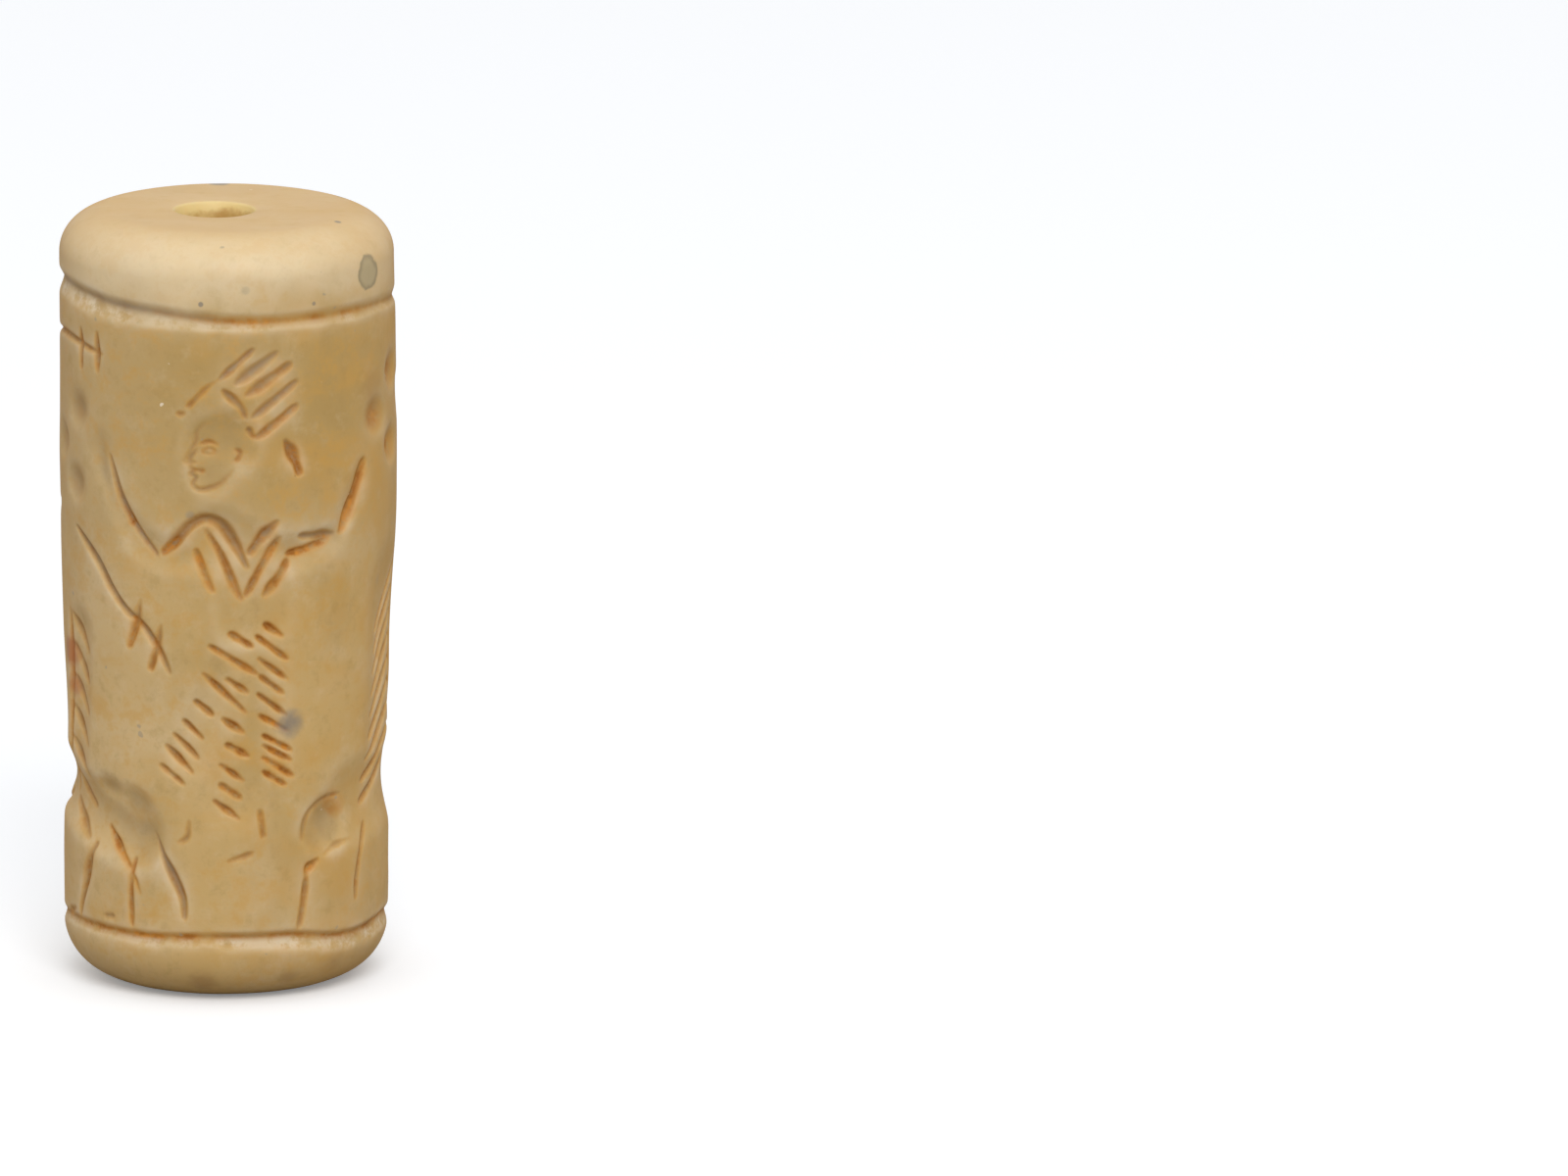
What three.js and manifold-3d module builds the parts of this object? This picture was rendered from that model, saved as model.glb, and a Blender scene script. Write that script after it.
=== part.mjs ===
import * as THREE from 'three';
import { mergeVertices } from 'three/addons/utils/BufferGeometryUtils.js';
import Module from 'manifold-3d';

// A cylinder seal: one polished stone roller, drilled from end to end, with a scene cut into its side.
// It stands on its lower end, the middle of that end at the origin. Lengths are millimetres.

// The stone
const sealHeight = 38.4;
const footRadius = 8.02;
const bellyRadius = 8.37;
const shoulderRadius = 8.25;
const swellHeight = 14.0;
const bellyHeight = 26.0;
const footEdge = { rise: 2.8, reach: 3.1 };
const topEdge = { rise: 2.1, reach: 2.4 };

// The lower part is ground a little off the axis of the upper part
const footShift = -0.24;
const shiftHeight = 5.6;

// The string hole, a little off the middle, with its mouths worn wider
const boreRadius = 1.8;
const boreOffset = -0.6;
const mouthFlare = 0.2;
const mouthDepth = 0.5;

// The two border grooves, cut by hand, so they wander up and down
const upperGrooveDrop = 4.1;
const lowerGrooveRise = 3.2;
const grooveWidth = 1.0;
const grooveDepth = 0.42;
const upperWander = 0.35;
const lowerWander = 0.2;

// Tools that cut the scene: width and depth of each kind of mark
const graver = { width: 0.5, depth: 0.32, sides: 4 };
const fineGraver = { width: 0.38, depth: 0.26, sides: 4 };
const broadGraver = { width: 0.7, depth: 0.4, sides: 4 };
const smallDrill = { radius: 1.3, depth: 0.5, sides: 10 };
const bodyDrill = { radius: 2.1, depth: 0.95, sides: 10 };
const bodyGouge = { depth: 0.75, sides: 8 };
const shallowGouge = { depth: 0.3, sides: 8 };
const figureHollow = 0.22;
const neckHollow = 0.4;
const plumeHollow = 0.25;
const tailHollow = 0.5;

// Small steps between marks that belong together
const featherGap = 0.3;
const plumeInset = 0.2;
const hoofSweep = [1.2, -0.4];
const globeReach = 2.0;

// Fineness of the facets
const stoneSides = 48;
const boreSides = 24;
const roundingSteps = 4;
const sideRows = 4;
const ringStep = 2.8;
const surfaceClearance = 0.03;
const crownOverFloor = 6;

// The scene is drawn on a flat grid and rolled round the stone. At the real size one unit is a millimetre.
const gridTurn = 51.5;
const gridFoot = 3.2;
const gridTop = 34.3;

const wasm = await Module();
wasm.setup();
const { Manifold, Mesh: SolidMesh } = wasm;

const fieldTop = sealHeight - upperGrooveDrop;
const gridRise = (fieldTop - lowerGrooveRise) / (gridTop - gridFoot);

const smooth = (t) => THREE.MathUtils.smoothstep(t, 0, 1);

function stoneRadius(height) {
  const swell = smooth((height - swellHeight) / (bellyHeight - swellHeight));
  const narrowing = smooth((height - bellyHeight) / (sealHeight - bellyHeight));
  return footRadius + (bellyRadius - footRadius) * swell - (bellyRadius - shoulderRadius) * narrowing;
}

function stoneCentre(height) {
  const straightened = smooth((height - shiftHeight) / (bellyHeight - shiftHeight));
  return footShift * (1 - straightened);
}

// Solids from geometry

function solidFrom(geometry) {
  geometry.deleteAttribute('normal');
  geometry.deleteAttribute('uv');
  const merged = mergeVertices(geometry, 1e-4);
  return new Manifold(new SolidMesh({
    numProp: 3,
    vertProperties: new Float32Array(merged.attributes.position.array),
    triVerts: new Uint32Array(merged.index.array),
  }));
}

function geometryFrom(solid) {
  const mesh = solid.getMesh();
  const geometry = new THREE.BufferGeometry();
  geometry.setAttribute('position', new THREE.Float32BufferAttribute(mesh.vertProperties, 3));
  geometry.setIndex(Array.from(mesh.triVerts));
  return geometry;
}

function turned(profile, sides) {
  const geometry = new THREE.LatheGeometry(profile, sides);
  geometry.rotateX(Math.PI / 2);
  return geometry;
}

// Moves each height of a turned shape to where the stone's own middle lies at that height
function offAxis(geometry) {
  const place = geometry.attributes.position;
  for (let i = 0; i < place.count; i += 1) {
    place.setX(i, place.getX(i) + stoneCentre(place.getZ(i)));
  }
  return geometry;
}

// The blank: flat ends, rounded edges and a side that swells a little above the middle
function blank() {
  const sideFoot = footEdge.rise;
  const sideTop = sealHeight - topEdge.rise;
  const profile = [new THREE.Vector2(0, 0)];
  const corner = (height, edge, startAngle) => {
    for (let step = 0; step <= roundingSteps; step += 1) {
      const angle = startAngle + (step / roundingSteps) * (Math.PI / 2);
      const out = stoneRadius(height) - edge.reach * (1 - Math.cos(angle));
      profile.push(new THREE.Vector2(out, height + edge.rise * Math.sin(angle)));
    }
  };
  corner(sideFoot, footEdge, -Math.PI / 2);
  for (let row = 1; row < sideRows; row += 1) {
    const height = sideFoot + ((sideTop - sideFoot) * row) / sideRows;
    profile.push(new THREE.Vector2(stoneRadius(height), height));
  }
  corner(sideTop, topEdge, 0);
  profile.push(new THREE.Vector2(0, sealHeight));
  return solidFrom(offAxis(turned(profile, stoneSides)));
}

function bore() {
  const reach = mouthDepth;
  const profile = [
    [0, -reach],
    [boreRadius + 2 * mouthFlare, -reach],
    [boreRadius, mouthDepth],
    [boreRadius, sealHeight - mouthDepth],
    [boreRadius + 2 * mouthFlare, sealHeight + reach],
    [0, sealHeight + reach],
  ].map(([out, height]) => new THREE.Vector2(out, height));
  const geometry = turned(profile, boreSides);
  geometry.translate(boreOffset, 0, 0);
  return solidFrom(geometry);
}

// A border groove is a ring of diamond section, its height moved by a slow wave round the stone
function borderGroove(height, wander, waves) {
  const radius = stoneRadius(height);
  const profile = [
    [radius - grooveDepth, 0],
    [radius, -grooveWidth / 2],
    [radius + grooveDepth, 0],
    [radius, grooveWidth / 2],
    [radius - grooveDepth, 0],
  ].map(([out, rise]) => new THREE.Vector2(out, height + rise));
  const geometry = turned(profile, stoneSides);
  const place = geometry.attributes.position;
  for (let i = 0; i < place.count; i += 1) {
    const angle = Math.atan2(place.getX(i), -place.getY(i));
    place.setZ(i, place.getZ(i) + wander * waves(angle));
  }
  return solidFrom(offAxis(geometry));
}

// From the flat grid to the stone. Across 0 faces the front, -Y, and grows toward +X.
function onStone(across, up, lift) {
  const height = lowerGrooveRise + (up - gridFoot) * gridRise;
  const angle = (across / gridTurn) * 2 * Math.PI;
  const radius = stoneRadius(height) + lift;
  return new THREE.Vector3(stoneCentre(height) + Math.sin(angle) * radius, -Math.cos(angle) * radius, height);
}

// A cut is a sphere drawn out along its path, pointed at both ends. Its widest line runs a little above
// the surface, by as much as the stone bulges between two rings, so that no thin lip is left over a cut.
// On the floor of a hollow the whole cut lies lower by the hollow's depth.
function cutAlong(path, { width, depth, sides, floor = 0 }) {
  const curve = new THREE.CatmullRomCurve3(path.map(([across, up]) => new THREE.Vector3(across, up, 0)));
  const rings = Math.ceil(curve.getLength() / ringStep) + 1;
  const spacing = curve.getLength() / rings;
  const clearance = surfaceClearance + (spacing * spacing) / (8 * footRadius);
  const halfDepth = depth + clearance;
  const halfWidth = (width / 2) * (halfDepth / depth);
  const crown = halfDepth + (width * width) / footRadius + crownOverFloor * floor;
  const geometry = new THREE.SphereGeometry(1, sides, rings);
  const place = geometry.attributes.position;
  const middle = new THREE.Vector3();
  const heading = new THREE.Vector3();
  for (let i = 0; i < place.count; i += 1) {
    const polar = Math.acos(THREE.MathUtils.clamp(place.getY(i), -1, 1));
    const along = 1 - polar / Math.PI;
    const ringSize = Math.sin(polar);
    const spread = ringSize > 1e-6 ? Math.sqrt(ringSize) / ringSize : 0;
    const aside = place.getX(i) * spread * halfWidth;
    const lift = clearance - floor + place.getZ(i) * spread * (place.getZ(i) > 0 ? crown : halfDepth);
    curve.getPoint(along, middle);
    curve.getTangent(along, heading);
    const point = onStone(middle.x + heading.y * aside, middle.y - heading.x * aside, lift);
    place.setXYZ(i, point.x, point.y, point.z);
  }
  return solidFrom(geometry);
}

// A drilled globe: a ball sunk until its lowest point is at the given depth
function drilled([across, up], { radius, depth, sides }) {
  const geometry = new THREE.SphereGeometry(radius, sides, Math.round(sides * 0.6));
  geometry.rotateX(Math.PI / 2);
  const centre = onStone(across, up, radius - depth);
  geometry.translate(centre.x, centre.y, centre.z);
  return solidFrom(geometry);
}

const inHollow = (tool, floor) => ({ ...tool, floor });
const between = (start, end, share) => start.map((value, axis) => value + (end[axis] - value) * share);
const shifted = (point, move) => point.map((value, axis) => value + move[axis]);
const shares = (count) => Array.from({ length: count }, (_, index) => (count > 1 ? index / (count - 1) : 0));

// A row of like strokes: their heads run evenly from one point to another, their sweep changes evenly too
function row(count, firstHead, lastHead, firstSweep, lastSweep, tool) {
  return shares(count).map((share) => {
    const head = between(firstHead, lastHead, share);
    return cutAlong([head, shifted(head, between(firstSweep, lastSweep, share))], tool);
  });
}

// Strokes that hang straight down from a curve, such as wing feathers from the wing's leading edge
function hanging(count, edge, firstLength, middleLength, lastLength, tool) {
  const curve = new THREE.CatmullRomCurve3(edge.map(([across, up]) => new THREE.Vector3(across, up, 0)));
  return shares(count).map((share) => {
    const { x, y } = curve.getPointAt(share);
    const length = share < 0.5
      ? firstLength + (middleLength - firstLength) * share * 2
      : middleLength + (lastLength - middleLength) * (share * 2 - 1);
    return cutAlong([[x, y - featherGap], [x, y - featherGap - length]], tool);
  });
}

// Four globes set crosswise
function globeCross(centre, reach) {
  return shares(5).slice(0, 4).map((share) => {
    const angle = share * 2 * Math.PI;
    return drilled(shifted(centre, [reach * Math.cos(angle), reach * Math.sin(angle)]), smallDrill);
  });
}

// The standing figure at the front, arms raised, in a fringed skirt
function standingFigure() {
  return [
    cutAlong([[0.3, 25.0], [0.2, 29.9]], { ...shallowGouge, width: 4.4 }),
    cutAlong([[0.7, 25.4], [0.7, 17.5]], { ...shallowGouge, width: 4.2, depth: figureHollow }),
    cutAlong([[0.9, 20.5], [0.2, 14.5], [-0.4, 8.9]], { ...shallowGouge, width: 6.4, depth: figureHollow }),
    ...row(5, [-0.3, 31.7], [1.4, 28.5], [1.9, 1.4], [2.2, 1.7], graver),
    cutAlong([[-0.9, 31.3], [-2.0, 30.0]], graver),
    cutAlong([[-0.4, 31.1], [0.6, 30.1], [1.2, 28.5]], graver),
    cutAlong([[-2.0, 29.6], [-0.1, 29.5]], fineGraver),
    cutAlong([[2.8, 28.4], [3.6, 26.5]], broadGraver),
    cutAlong([[-3.2, 22.6], [-2.2, 23.8], [-1.1, 24.9], [0.1, 23.7], [1.0, 22.0]], broadGraver),
    ...row(2, [-1.1, 24.0], [-1.6, 22.9], [1.5, -3.3], [0.9, -2.0], inHollow(graver, figureHollow)),
    ...row(3, [2.4, 24.4], [3.0, 22.3], [-1.4, -2.0], [-1.3, -1.9], inHollow(graver, figureHollow)),
    cutAlong([[-3.6, 22.4], [-4.7, 23.5], [-5.8, 25.4], [-6.4, 27.8]], graver),
    ...row(2, [3.8, 23.6], [2.9, 22.6], [2.1, -0.3], [2.8, 0.6], graver),
    cutAlong([[6.0, 23.2], [6.9, 24.7], [7.6, 26.9]], graver),
    ...row(10, [1.6, 19.1], [1.8, 11.8], [1.4, -1.1], [1.5, -0.9], inHollow(fineGraver, figureHollow)),
    ...row(9, [-0.3, 18.6], [-0.6, 10.4], [1.5, -1.1], [1.3, -1.0], inHollow(fineGraver, figureHollow)),
    ...row(5, [-1.7, 15.4], [-3.5, 12.1], [1.1, -0.9], [1.4, -1.2], inHollow(fineGraver, figureHollow)),
    cutAlong([[-1.9, 9.4], [-2.4, 8.2]], fineGraver),
    cutAlong([[1.7, 9.9], [1.9, 8.4]], fineGraver),
    cutAlong([[0.0, 7.3], [1.4, 7.7]], fineGraver),
  ];
}

// A beast walking in profile: two drilled balls joined by a gouged barrel, a neck with a cut mane,
// a feathered plume rising behind the neck, a head and thin legs.
// Lengths run forward from the rump, facing +1 or -1 round the stone.
function beast({ rump, facing, body, plume, mane, head, legs, hooves }) {
  const at = ([forward, up]) => [rump[0] + facing * forward, up];
  const along = (points, tool) => cutAlong(points.map(at), tool);
  const turnedRow = (count, first, last, [sweepAcross, sweepUp], tool) => {
    const sweep = [facing * sweepAcross, sweepUp];
    return row(count, at(first), at(last), sweep, sweep, tool);
  };
  const neck = between(mane.first, head.poll, 0.5);
  const halfPlume = [-plume.spread / 2, -2 * plumeInset];
  return [
    drilled(rump, { ...bodyDrill, radius: body.rumpRadius }),
    drilled(at(body.chest), bodyDrill),
    along([[0, rump[1]], body.waist, body.chest], { ...bodyGouge, width: body.girth }),
    along([body.chest, neck], { ...shallowGouge, width: body.neckWidth, depth: neckHollow }),
    along([plume.top, plume.foot], graver),
    along([shifted(plume.top, halfPlume), shifted(plume.foot, halfPlume)], {
      ...shallowGouge, width: plume.spread, depth: plumeHollow,
    }),
    ...turnedRow(plume.count, shifted(plume.top, [-plumeInset, -2 * plumeInset]),
      shifted(plume.foot, [-plumeInset, plume.rise]), [-plume.spread, -plume.slant],
      inHollow(fineGraver, plumeHollow)),
    ...turnedRow(mane.count, mane.first, mane.last, mane.sweep, graver),
    along([head.poll, head.brow, head.muzzle], graver),
    along([head.jaw, head.chin, head.muzzle], graver),
    along([head.ear, head.jaw], graver),
    ...legs.map((joints) => along(joints, graver)),
    ...hooves.map((toe) => along([toe, shifted(toe, hoofSweep)], fineGraver)),
  ];
}

const grazingBeast = () => beast({
  rump: [-5.6, 8.7],
  facing: -1,
  body: { rumpRadius: 2.1, waist: [4.6, 9.5], chest: [9.7, 10.0], girth: 3.2, neckWidth: 3.4 },
  plume: { top: [4.9, 19.0], foot: [5.3, 9.4], spread: 2.5, count: 7, rise: 1.9, slant: 1.7 },
  mane: { count: 6, first: [7.0, 16.2], last: [6.6, 9.4], sweep: [1.8, -1.4] },
  head: { poll: [8.9, 17.6], brow: [11.6, 16.2], muzzle: [12.8, 14.5], chin: [11.0, 14.9], jaw: [10.0, 15.0],
    ear: [9.3, 16.8] },
  legs: [
    [[-1.7, 8.2], [-2.8, 6.8], [-3.5, 4.4]],
    [[1.6, 7.9], [0.0, 6.4], [-0.5, 3.6]],
    [[2.4, 7.0], [3.6, 3.6]],
    [[7.5, 7.4], [7.3, 3.7]],
    [[10.0, 7.6], [11.6, 3.7]],
  ],
  hooves: [[0.8, 3.7], [4.2, 3.9], [7.8, 3.8], [12.4, 3.9]],
});

const risingBeast = () => beast({
  rump: [-45.7, 8.8],
  facing: 1,
  body: { rumpRadius: 1.9, waist: [4.4, 9.7], chest: [9.0, 9.8], girth: 3.0, neckWidth: 3.2 },
  plume: { top: [7.1, 20.9], foot: [7.1, 11.6], spread: 3.4, count: 8, rise: 0.2, slant: 1.8 },
  mane: { count: 7, first: [9.4, 16.6], last: [8.0, 9.9], sweep: [1.5, -1.6] },
  head: { poll: [10.9, 18.2], brow: [12.4, 18.5], muzzle: [14.1, 18.8], chin: [12.5, 16.8], jaw: [10.2, 15.7],
    ear: [10.8, 18.4] },
  legs: [
    [[1.5, 7.5], [-1.2, 6.6], [-2.0, 3.7]],
    [[3.2, 8.0], [1.8, 6.7], [1.1, 4.4]],
    [[8.9, 8.1], [7.4, 6.9], [6.4, 3.6]],
    [[10.4, 7.6], [10.8, 3.8]],
  ],
  hooves: [[11.2, 4.3], [7.2, 4.1]],
});

// The spread bird, seen from the front, its head turned up and aside
function spreadBird() {
  const nearWing = [[-16.8, 30.5], [-18.0, 28.5], [-19.7, 26.1], [-22.6, 23.2]];
  const farWing = [[-34.6, 31.2], [-33.8, 29.8], [-31.9, 27.6], [-29.4, 25.6], [-27.1, 24.4]];
  const onBody = inHollow(fineGraver, bodyGouge.depth);
  return [
    cutAlong([[-25.1, 25.0], [-25.1, 17.4]], { ...bodyGouge, width: 3.8 }),
    cutAlong([[-25.1, 17.2], [-25.4, 8.7]], { ...shallowGouge, width: 4.4, depth: tailHollow }),
    cutAlong([[-23.3, 26.7], [-25.1, 28.0], [-27.0, 28.9]], { ...shallowGouge, width: 1.6, depth: 0.4 }),
    cutAlong(nearWing, graver),
    ...hanging(7, nearWing, 4.4, 4.0, 2.4, fineGraver),
    cutAlong(farWing, graver),
    ...hanging(9, farWing, 2.4, 4.3, 3.0, fineGraver),
    cutAlong([[-28.7, 29.8], [-25.6, 28.9], [-22.9, 26.7]], graver),
    cutAlong([[-28.7, 29.6], [-26.7, 28.5], [-25.7, 27.7]], graver),
    cutAlong([[-22.7, 25.8], [-24.0, 25.7], [-25.5, 26.3]], graver),
    ...row(2, [-24.0, 23.6], [-25.1, 23.6], [0, -1.9], [0, -2.1], onBody),
    ...row(2, [-23.7, 20.8], [-24.9, 20.9], [-0.1, -2.6], [-0.1, -2.3], onBody),
    cutAlong([[-24.2, 16.9], [-25.8, 17.0]], graver),
    cutAlong([[-23.6, 15.9], [-26.7, 16.1]], graver),
    ...row(5, [-23.4, 15.6], [-27.2, 15.4], [0.1, -6.1], [-0.9, -4.6], inHollow(fineGraver, tailHollow)),
    cutAlong([[-22.1, 15.2], [-20.3, 11.9]], graver),
    cutAlong([[-20.6, 11.8], [-21.2, 10.2]], fineGraver),
    cutAlong([[-27.5, 17.9], [-30.9, 12.6], [-32.1, 11.9]], graver),
    cutAlong([[-31.3, 11.7], [-31.8, 10.7]], fineGraver),
  ];
}

// The crescent under the bird, with a row of short strokes standing in it
function crescent() {
  const rim = [
    [-20.2, 8.7], [-20.9, 5.3], [-22.6, 3.9], [-24.8, 3.6], [-28.0, 3.9], [-31.3, 4.7], [-33.2, 6.0],
  ];
  return [
    cutAlong(rim, graver),
    ...row(7, [-23.7, 6.6], [-31.7, 8.0], [-0.1, -2.3], [-0.3, -2.2], fineGraver),
  ];
}

// A nearly level bar crossed by three pairs of ticks
function tickedBar() {
  const pairs = [-8.0, -15.0, -19.5];
  const halfGap = 0.6;
  const tickHeight = 2.1;
  const level = 32.4;
  return [
    cutAlong([[-6.8, 32.2], [-14.0, 32.5], [-20.8, 32.0]], graver),
    ...pairs.flatMap((middle) => row(2, [middle + halfGap, level + tickHeight / 2],
      [middle - halfGap, level + tickHeight / 2], [0, -tickHeight], [0, -tickHeight], fineGraver)),
  ];
}

// Two barbed shafts that slope away from each other over the walking beast
function shafts() {
  return [
    cutAlong([[-9.3, 23.2], [-5.4, 19.6], [-2.9, 16.6]], graver),
    ...row(2, [-4.5, 20.1], [-3.6, 18.9], [-0.8, -2.4], [-0.4, -2.1], graver),
    cutAlong([[-11.5, 23.4], [-15.2, 21.1], [-17.9, 19.0], [-19.6, 16.4]], broadGraver),
    ...row(2, [-17.5, 20.8], [-18.5, 19.8], [0.5, -2.2], [0.5, -2.2], fineGraver),
  ];
}

const cuts = [
  bore(),
  borderGroove(fieldTop, upperWander, (angle) => Math.cos(2 * angle + 2.6) - 0.4 * Math.sin(angle)),
  borderGroove(lowerGrooveRise, lowerWander, (angle) => Math.cos(angle * 2 + 1.2)),
  ...standingFigure(),
  ...grazingBeast(),
  ...risingBeast(),
  ...spreadBird(),
  ...crescent(),
  ...tickedBar(),
  ...shafts(),
  ...globeCross([-8.9, 27.4], globeReach),
  ...globeCross([10.7, 28.9], globeReach),
];
const carved = cuts.reduce((stone, tool) => stone.subtract(tool), blank());

const polishedStone = new THREE.MeshStandardMaterial({ color: 0xcdb682, roughness: 0.45, metalness: 0 });
const seal = new THREE.Mesh(geometryFrom(carved), polishedStone);
seal.name = 'cylinder_seal';

const model = new THREE.Group();
model.add(seal);

export default model;
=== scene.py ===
# %% [markdown]
# # A carved cylinder seal
# The object is a stone roller about as long as a finger joint. It has flat ends, soft edges and a string
# hole from end to end, and a scene is cut into its side between two border grooves. Every shape of the
# scene is a hollow, because such a stone is made to press the scene into something softer.
#
# The solid model of the seal is loaded first. It fixes the size and the place: the stone stands on its
# lower end, the middle of that end is the origin, and the standing figure faces -Y.

# %% Load the solid seal
import math
from functools import partialmethod

import bpy
import numpy as np
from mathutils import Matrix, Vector


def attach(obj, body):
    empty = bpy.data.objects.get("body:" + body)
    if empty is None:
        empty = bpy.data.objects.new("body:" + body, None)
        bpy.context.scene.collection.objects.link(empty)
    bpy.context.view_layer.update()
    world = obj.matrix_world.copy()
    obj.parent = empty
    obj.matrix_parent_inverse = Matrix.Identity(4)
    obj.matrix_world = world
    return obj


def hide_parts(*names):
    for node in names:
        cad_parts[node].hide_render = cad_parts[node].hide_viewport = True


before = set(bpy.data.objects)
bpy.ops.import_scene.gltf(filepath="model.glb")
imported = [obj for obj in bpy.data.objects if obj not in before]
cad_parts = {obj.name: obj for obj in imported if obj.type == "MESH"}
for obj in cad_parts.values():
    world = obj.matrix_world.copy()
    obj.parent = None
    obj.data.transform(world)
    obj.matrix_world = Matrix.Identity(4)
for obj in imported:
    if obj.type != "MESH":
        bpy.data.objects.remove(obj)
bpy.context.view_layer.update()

# %% [markdown]
# ## Sizes
# All lengths are millimetres until the very last step, because a seal cutter's marks are tenths of a
# millimetre and such numbers read badly in metres. The stone isn't a true cylinder: it was ground by
# hand, so it is a little slimmer at the foot and fullest above the middle.

# %% The stone's own sizes
MM = 0.001
HEIGHT = 38.4
FOOT_RADIUS = 8.02
BELLY_RADIUS = 8.345
SHOULDER_RADIUS = 8.25
SWELL_FROM, SWELL_TO = 14.0, 26.0
FOOT_EDGE_RISE, FOOT_EDGE_REACH = 2.8, 3.1
TOP_EDGE_RISE, TOP_EDGE_REACH = 2.1, 2.4
BORE_RADIUS = 1.8
BORE_OFFSET = -0.6
FOOT_SHIFT = -0.24
END_SLOPE = 0.1
MOUTH_WEAR = 0.2
MOUTH_SAG = 0.1
print(f"stone {HEIGHT} mm high, {2 * BELLY_RADIUS} mm across at its fullest")

# %% [markdown]
# ## The drawing sheet
# A cutter plans the scene as a flat strip, and so does this script. The strip is a raster: across it
# runs the way round the stone, 0 at the front and growing to the viewer's right, and up it runs the
# height. Each cell holds how deep the stone is cut there, how much stain has settled in it, and how much
# painted shade and painted highlight it gets.
#
# The same cuts could be made with boolean solids, one per stroke. Two hundred booleans on a fine mesh
# are slow and often fail where strokes cross. A raster of depths never fails, because crossing cuts
# just keep the deeper of the two values.

# %% The sheet and its layers
TURN = 51.5
COLUMNS = 920
PITCH = TURN / COLUMNS
ROWS = math.ceil(HEIGHT / PITCH) + 2
layers = {name: np.zeros((ROWS, COLUMNS)) for name in ("hollow", "stroke", "ochre", "grey", "chalk_and_highlight")}
dice = np.random.default_rng(7)
print(f"sheet of {COLUMNS} by {ROWS} cells, {PITCH:.3f} mm each")


# %% Points along a smooth hand-drawn path
def smooth_path(points, steps=8):
    points = np.array(points, float)
    if len(points) == 2:
        return points
    padded = np.vstack([2 * points[0] - points[1], points, 2 * points[-1] - points[-2]])
    share = np.linspace(0, 1, steps, endpoint=False)[:, None]
    spans = []
    for a, b, c, d in zip(padded, padded[1:], padded[2:], padded[3:]):
        spans.append(0.5 * (2 * b + (c - a) * share + (2 * a - 5 * b + 4 * c - d) * share**2
                            + (3 * b - a - 3 * c + d) * share**3))
    return np.vstack([*spans, points[-1:]])


print("a bend of 3 points becomes one of", len(smooth_path([(0, 0), (1, 1), (2, 0)])))


# %% The cells near a path, their distance from it and how far along it they lie
def near_path(points, reach):
    path = smooth_path(points)
    low = np.floor((path.min(axis=0) - reach) / PITCH).astype(int)
    high = np.ceil((path.max(axis=0) + reach) / PITCH).astype(int)
    columns = np.arange(low[0], high[0] + 1)
    rows = np.arange(max(low[1], 0), min(high[1], ROWS - 1) + 1)
    cell = np.stack(np.meshgrid(columns * PITCH, rows * PITCH), axis=-1)
    starts, spans = path[:-1], np.diff(path, axis=0)
    lengths = np.hypot(*spans.T)
    gone = np.concatenate([[0], np.cumsum(lengths)])
    distance = np.full(cell.shape[:2], np.inf)
    along = np.zeros(cell.shape[:2])
    for start, span, length, before in zip(starts, spans, lengths, gone):
        share = ((cell - start) @ span / length**2).clip(0, 1)
        away = np.hypot(*np.moveaxis(cell - start - share[..., None] * span, -1, 0))
        nearer = away < distance
        distance[nearer] = away[nearer]
        along[nearer] = (before + share * length)[nearer] / gone[-1]
    return np.ix_(rows, columns % COLUMNS), distance, along


def deepen(name, window, values):
    layers[name][window] = np.maximum(layers[name][window], values)


print("1 mm of path with 0.5 mm round it covers", near_path([(0, 5), (1, 5)], 0.5)[1].size, "cells")


# %% [markdown]
# ## The cutter's marks
# Three tools made nearly every mark. A graver leaves a leaf-shaped stroke, narrow at both ends and
# deepest in the middle; once worn, its floor is round, and earth stays along both of its rims. A drill
# leaves a round cup. A gouge, rubbed to and fro, leaves a smooth trough. Each mark takes a little chance
# in its width, as no two strokes of a hand are alike.
#
# They could be sculpted with a brush. Here each is a rule that turns the distance from a path into a
# depth, so that a mark is moved, widened or repeated by changing a few numbers.


# %% A graver stroke, a gouged trough and a drilled cup
BLUNTNESS = 0.61


def stroke(points, width=0.5, depth=0.3, ochre=0.6, grey=0.3, deepest=0.5):
    window, distance, along = near_path(points, width)
    skew = math.log(0.5) / math.log(deepest)
    leaf = np.sin(np.pi * along.clip(0, 1)**skew).clip(0, 1)**0.34
    wobble = 1 + 0.16 * np.sin(along * dice.uniform(5, 11) + dice.uniform(0, 6.3))
    half = np.maximum(width * BLUNTNESS * leaf * wobble, 1e-3)
    share = distance / half
    deepen("stroke", window, depth * 0.8 * leaf * wobble * (1 - share.clip(0, 1)**1.8)**1.2)
    rims = (1 - np.abs(share - 0.75) / 0.6).clip(0, 1)
    floor = (1.15 - share).clip(0, 1)
    deepen("ochre", window, ochre * dice.uniform(0.75, 1.0) * (rims * 0.95 + floor * 0.25))
    # The grey on the stroke's floor is painted shade.
    deepen("grey", window, grey * dice.uniform(0.6, 1.0) * floor)


# The grey in a hollow is painted shade.
def keep_hollow(window, shape, depth, grey, ochre):
    for name, most in ("hollow", depth), ("grey", grey), ("ochre", ochre):
        deepen(name, window, most * shape)


def trough(points, width, depth, taper=0, softness=1.5, grey=0.1, ochre=0):
    window, distance, along = near_path(points, width / 2)
    leaf = 1 - taper + taper * np.sin(np.pi * along)
    share = (distance / (width / 2 * leaf + 1e-6)).clip(0, 1)
    keep_hollow(window, leaf * (1 - share**2)**softness, depth, grey, ochre)


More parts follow.
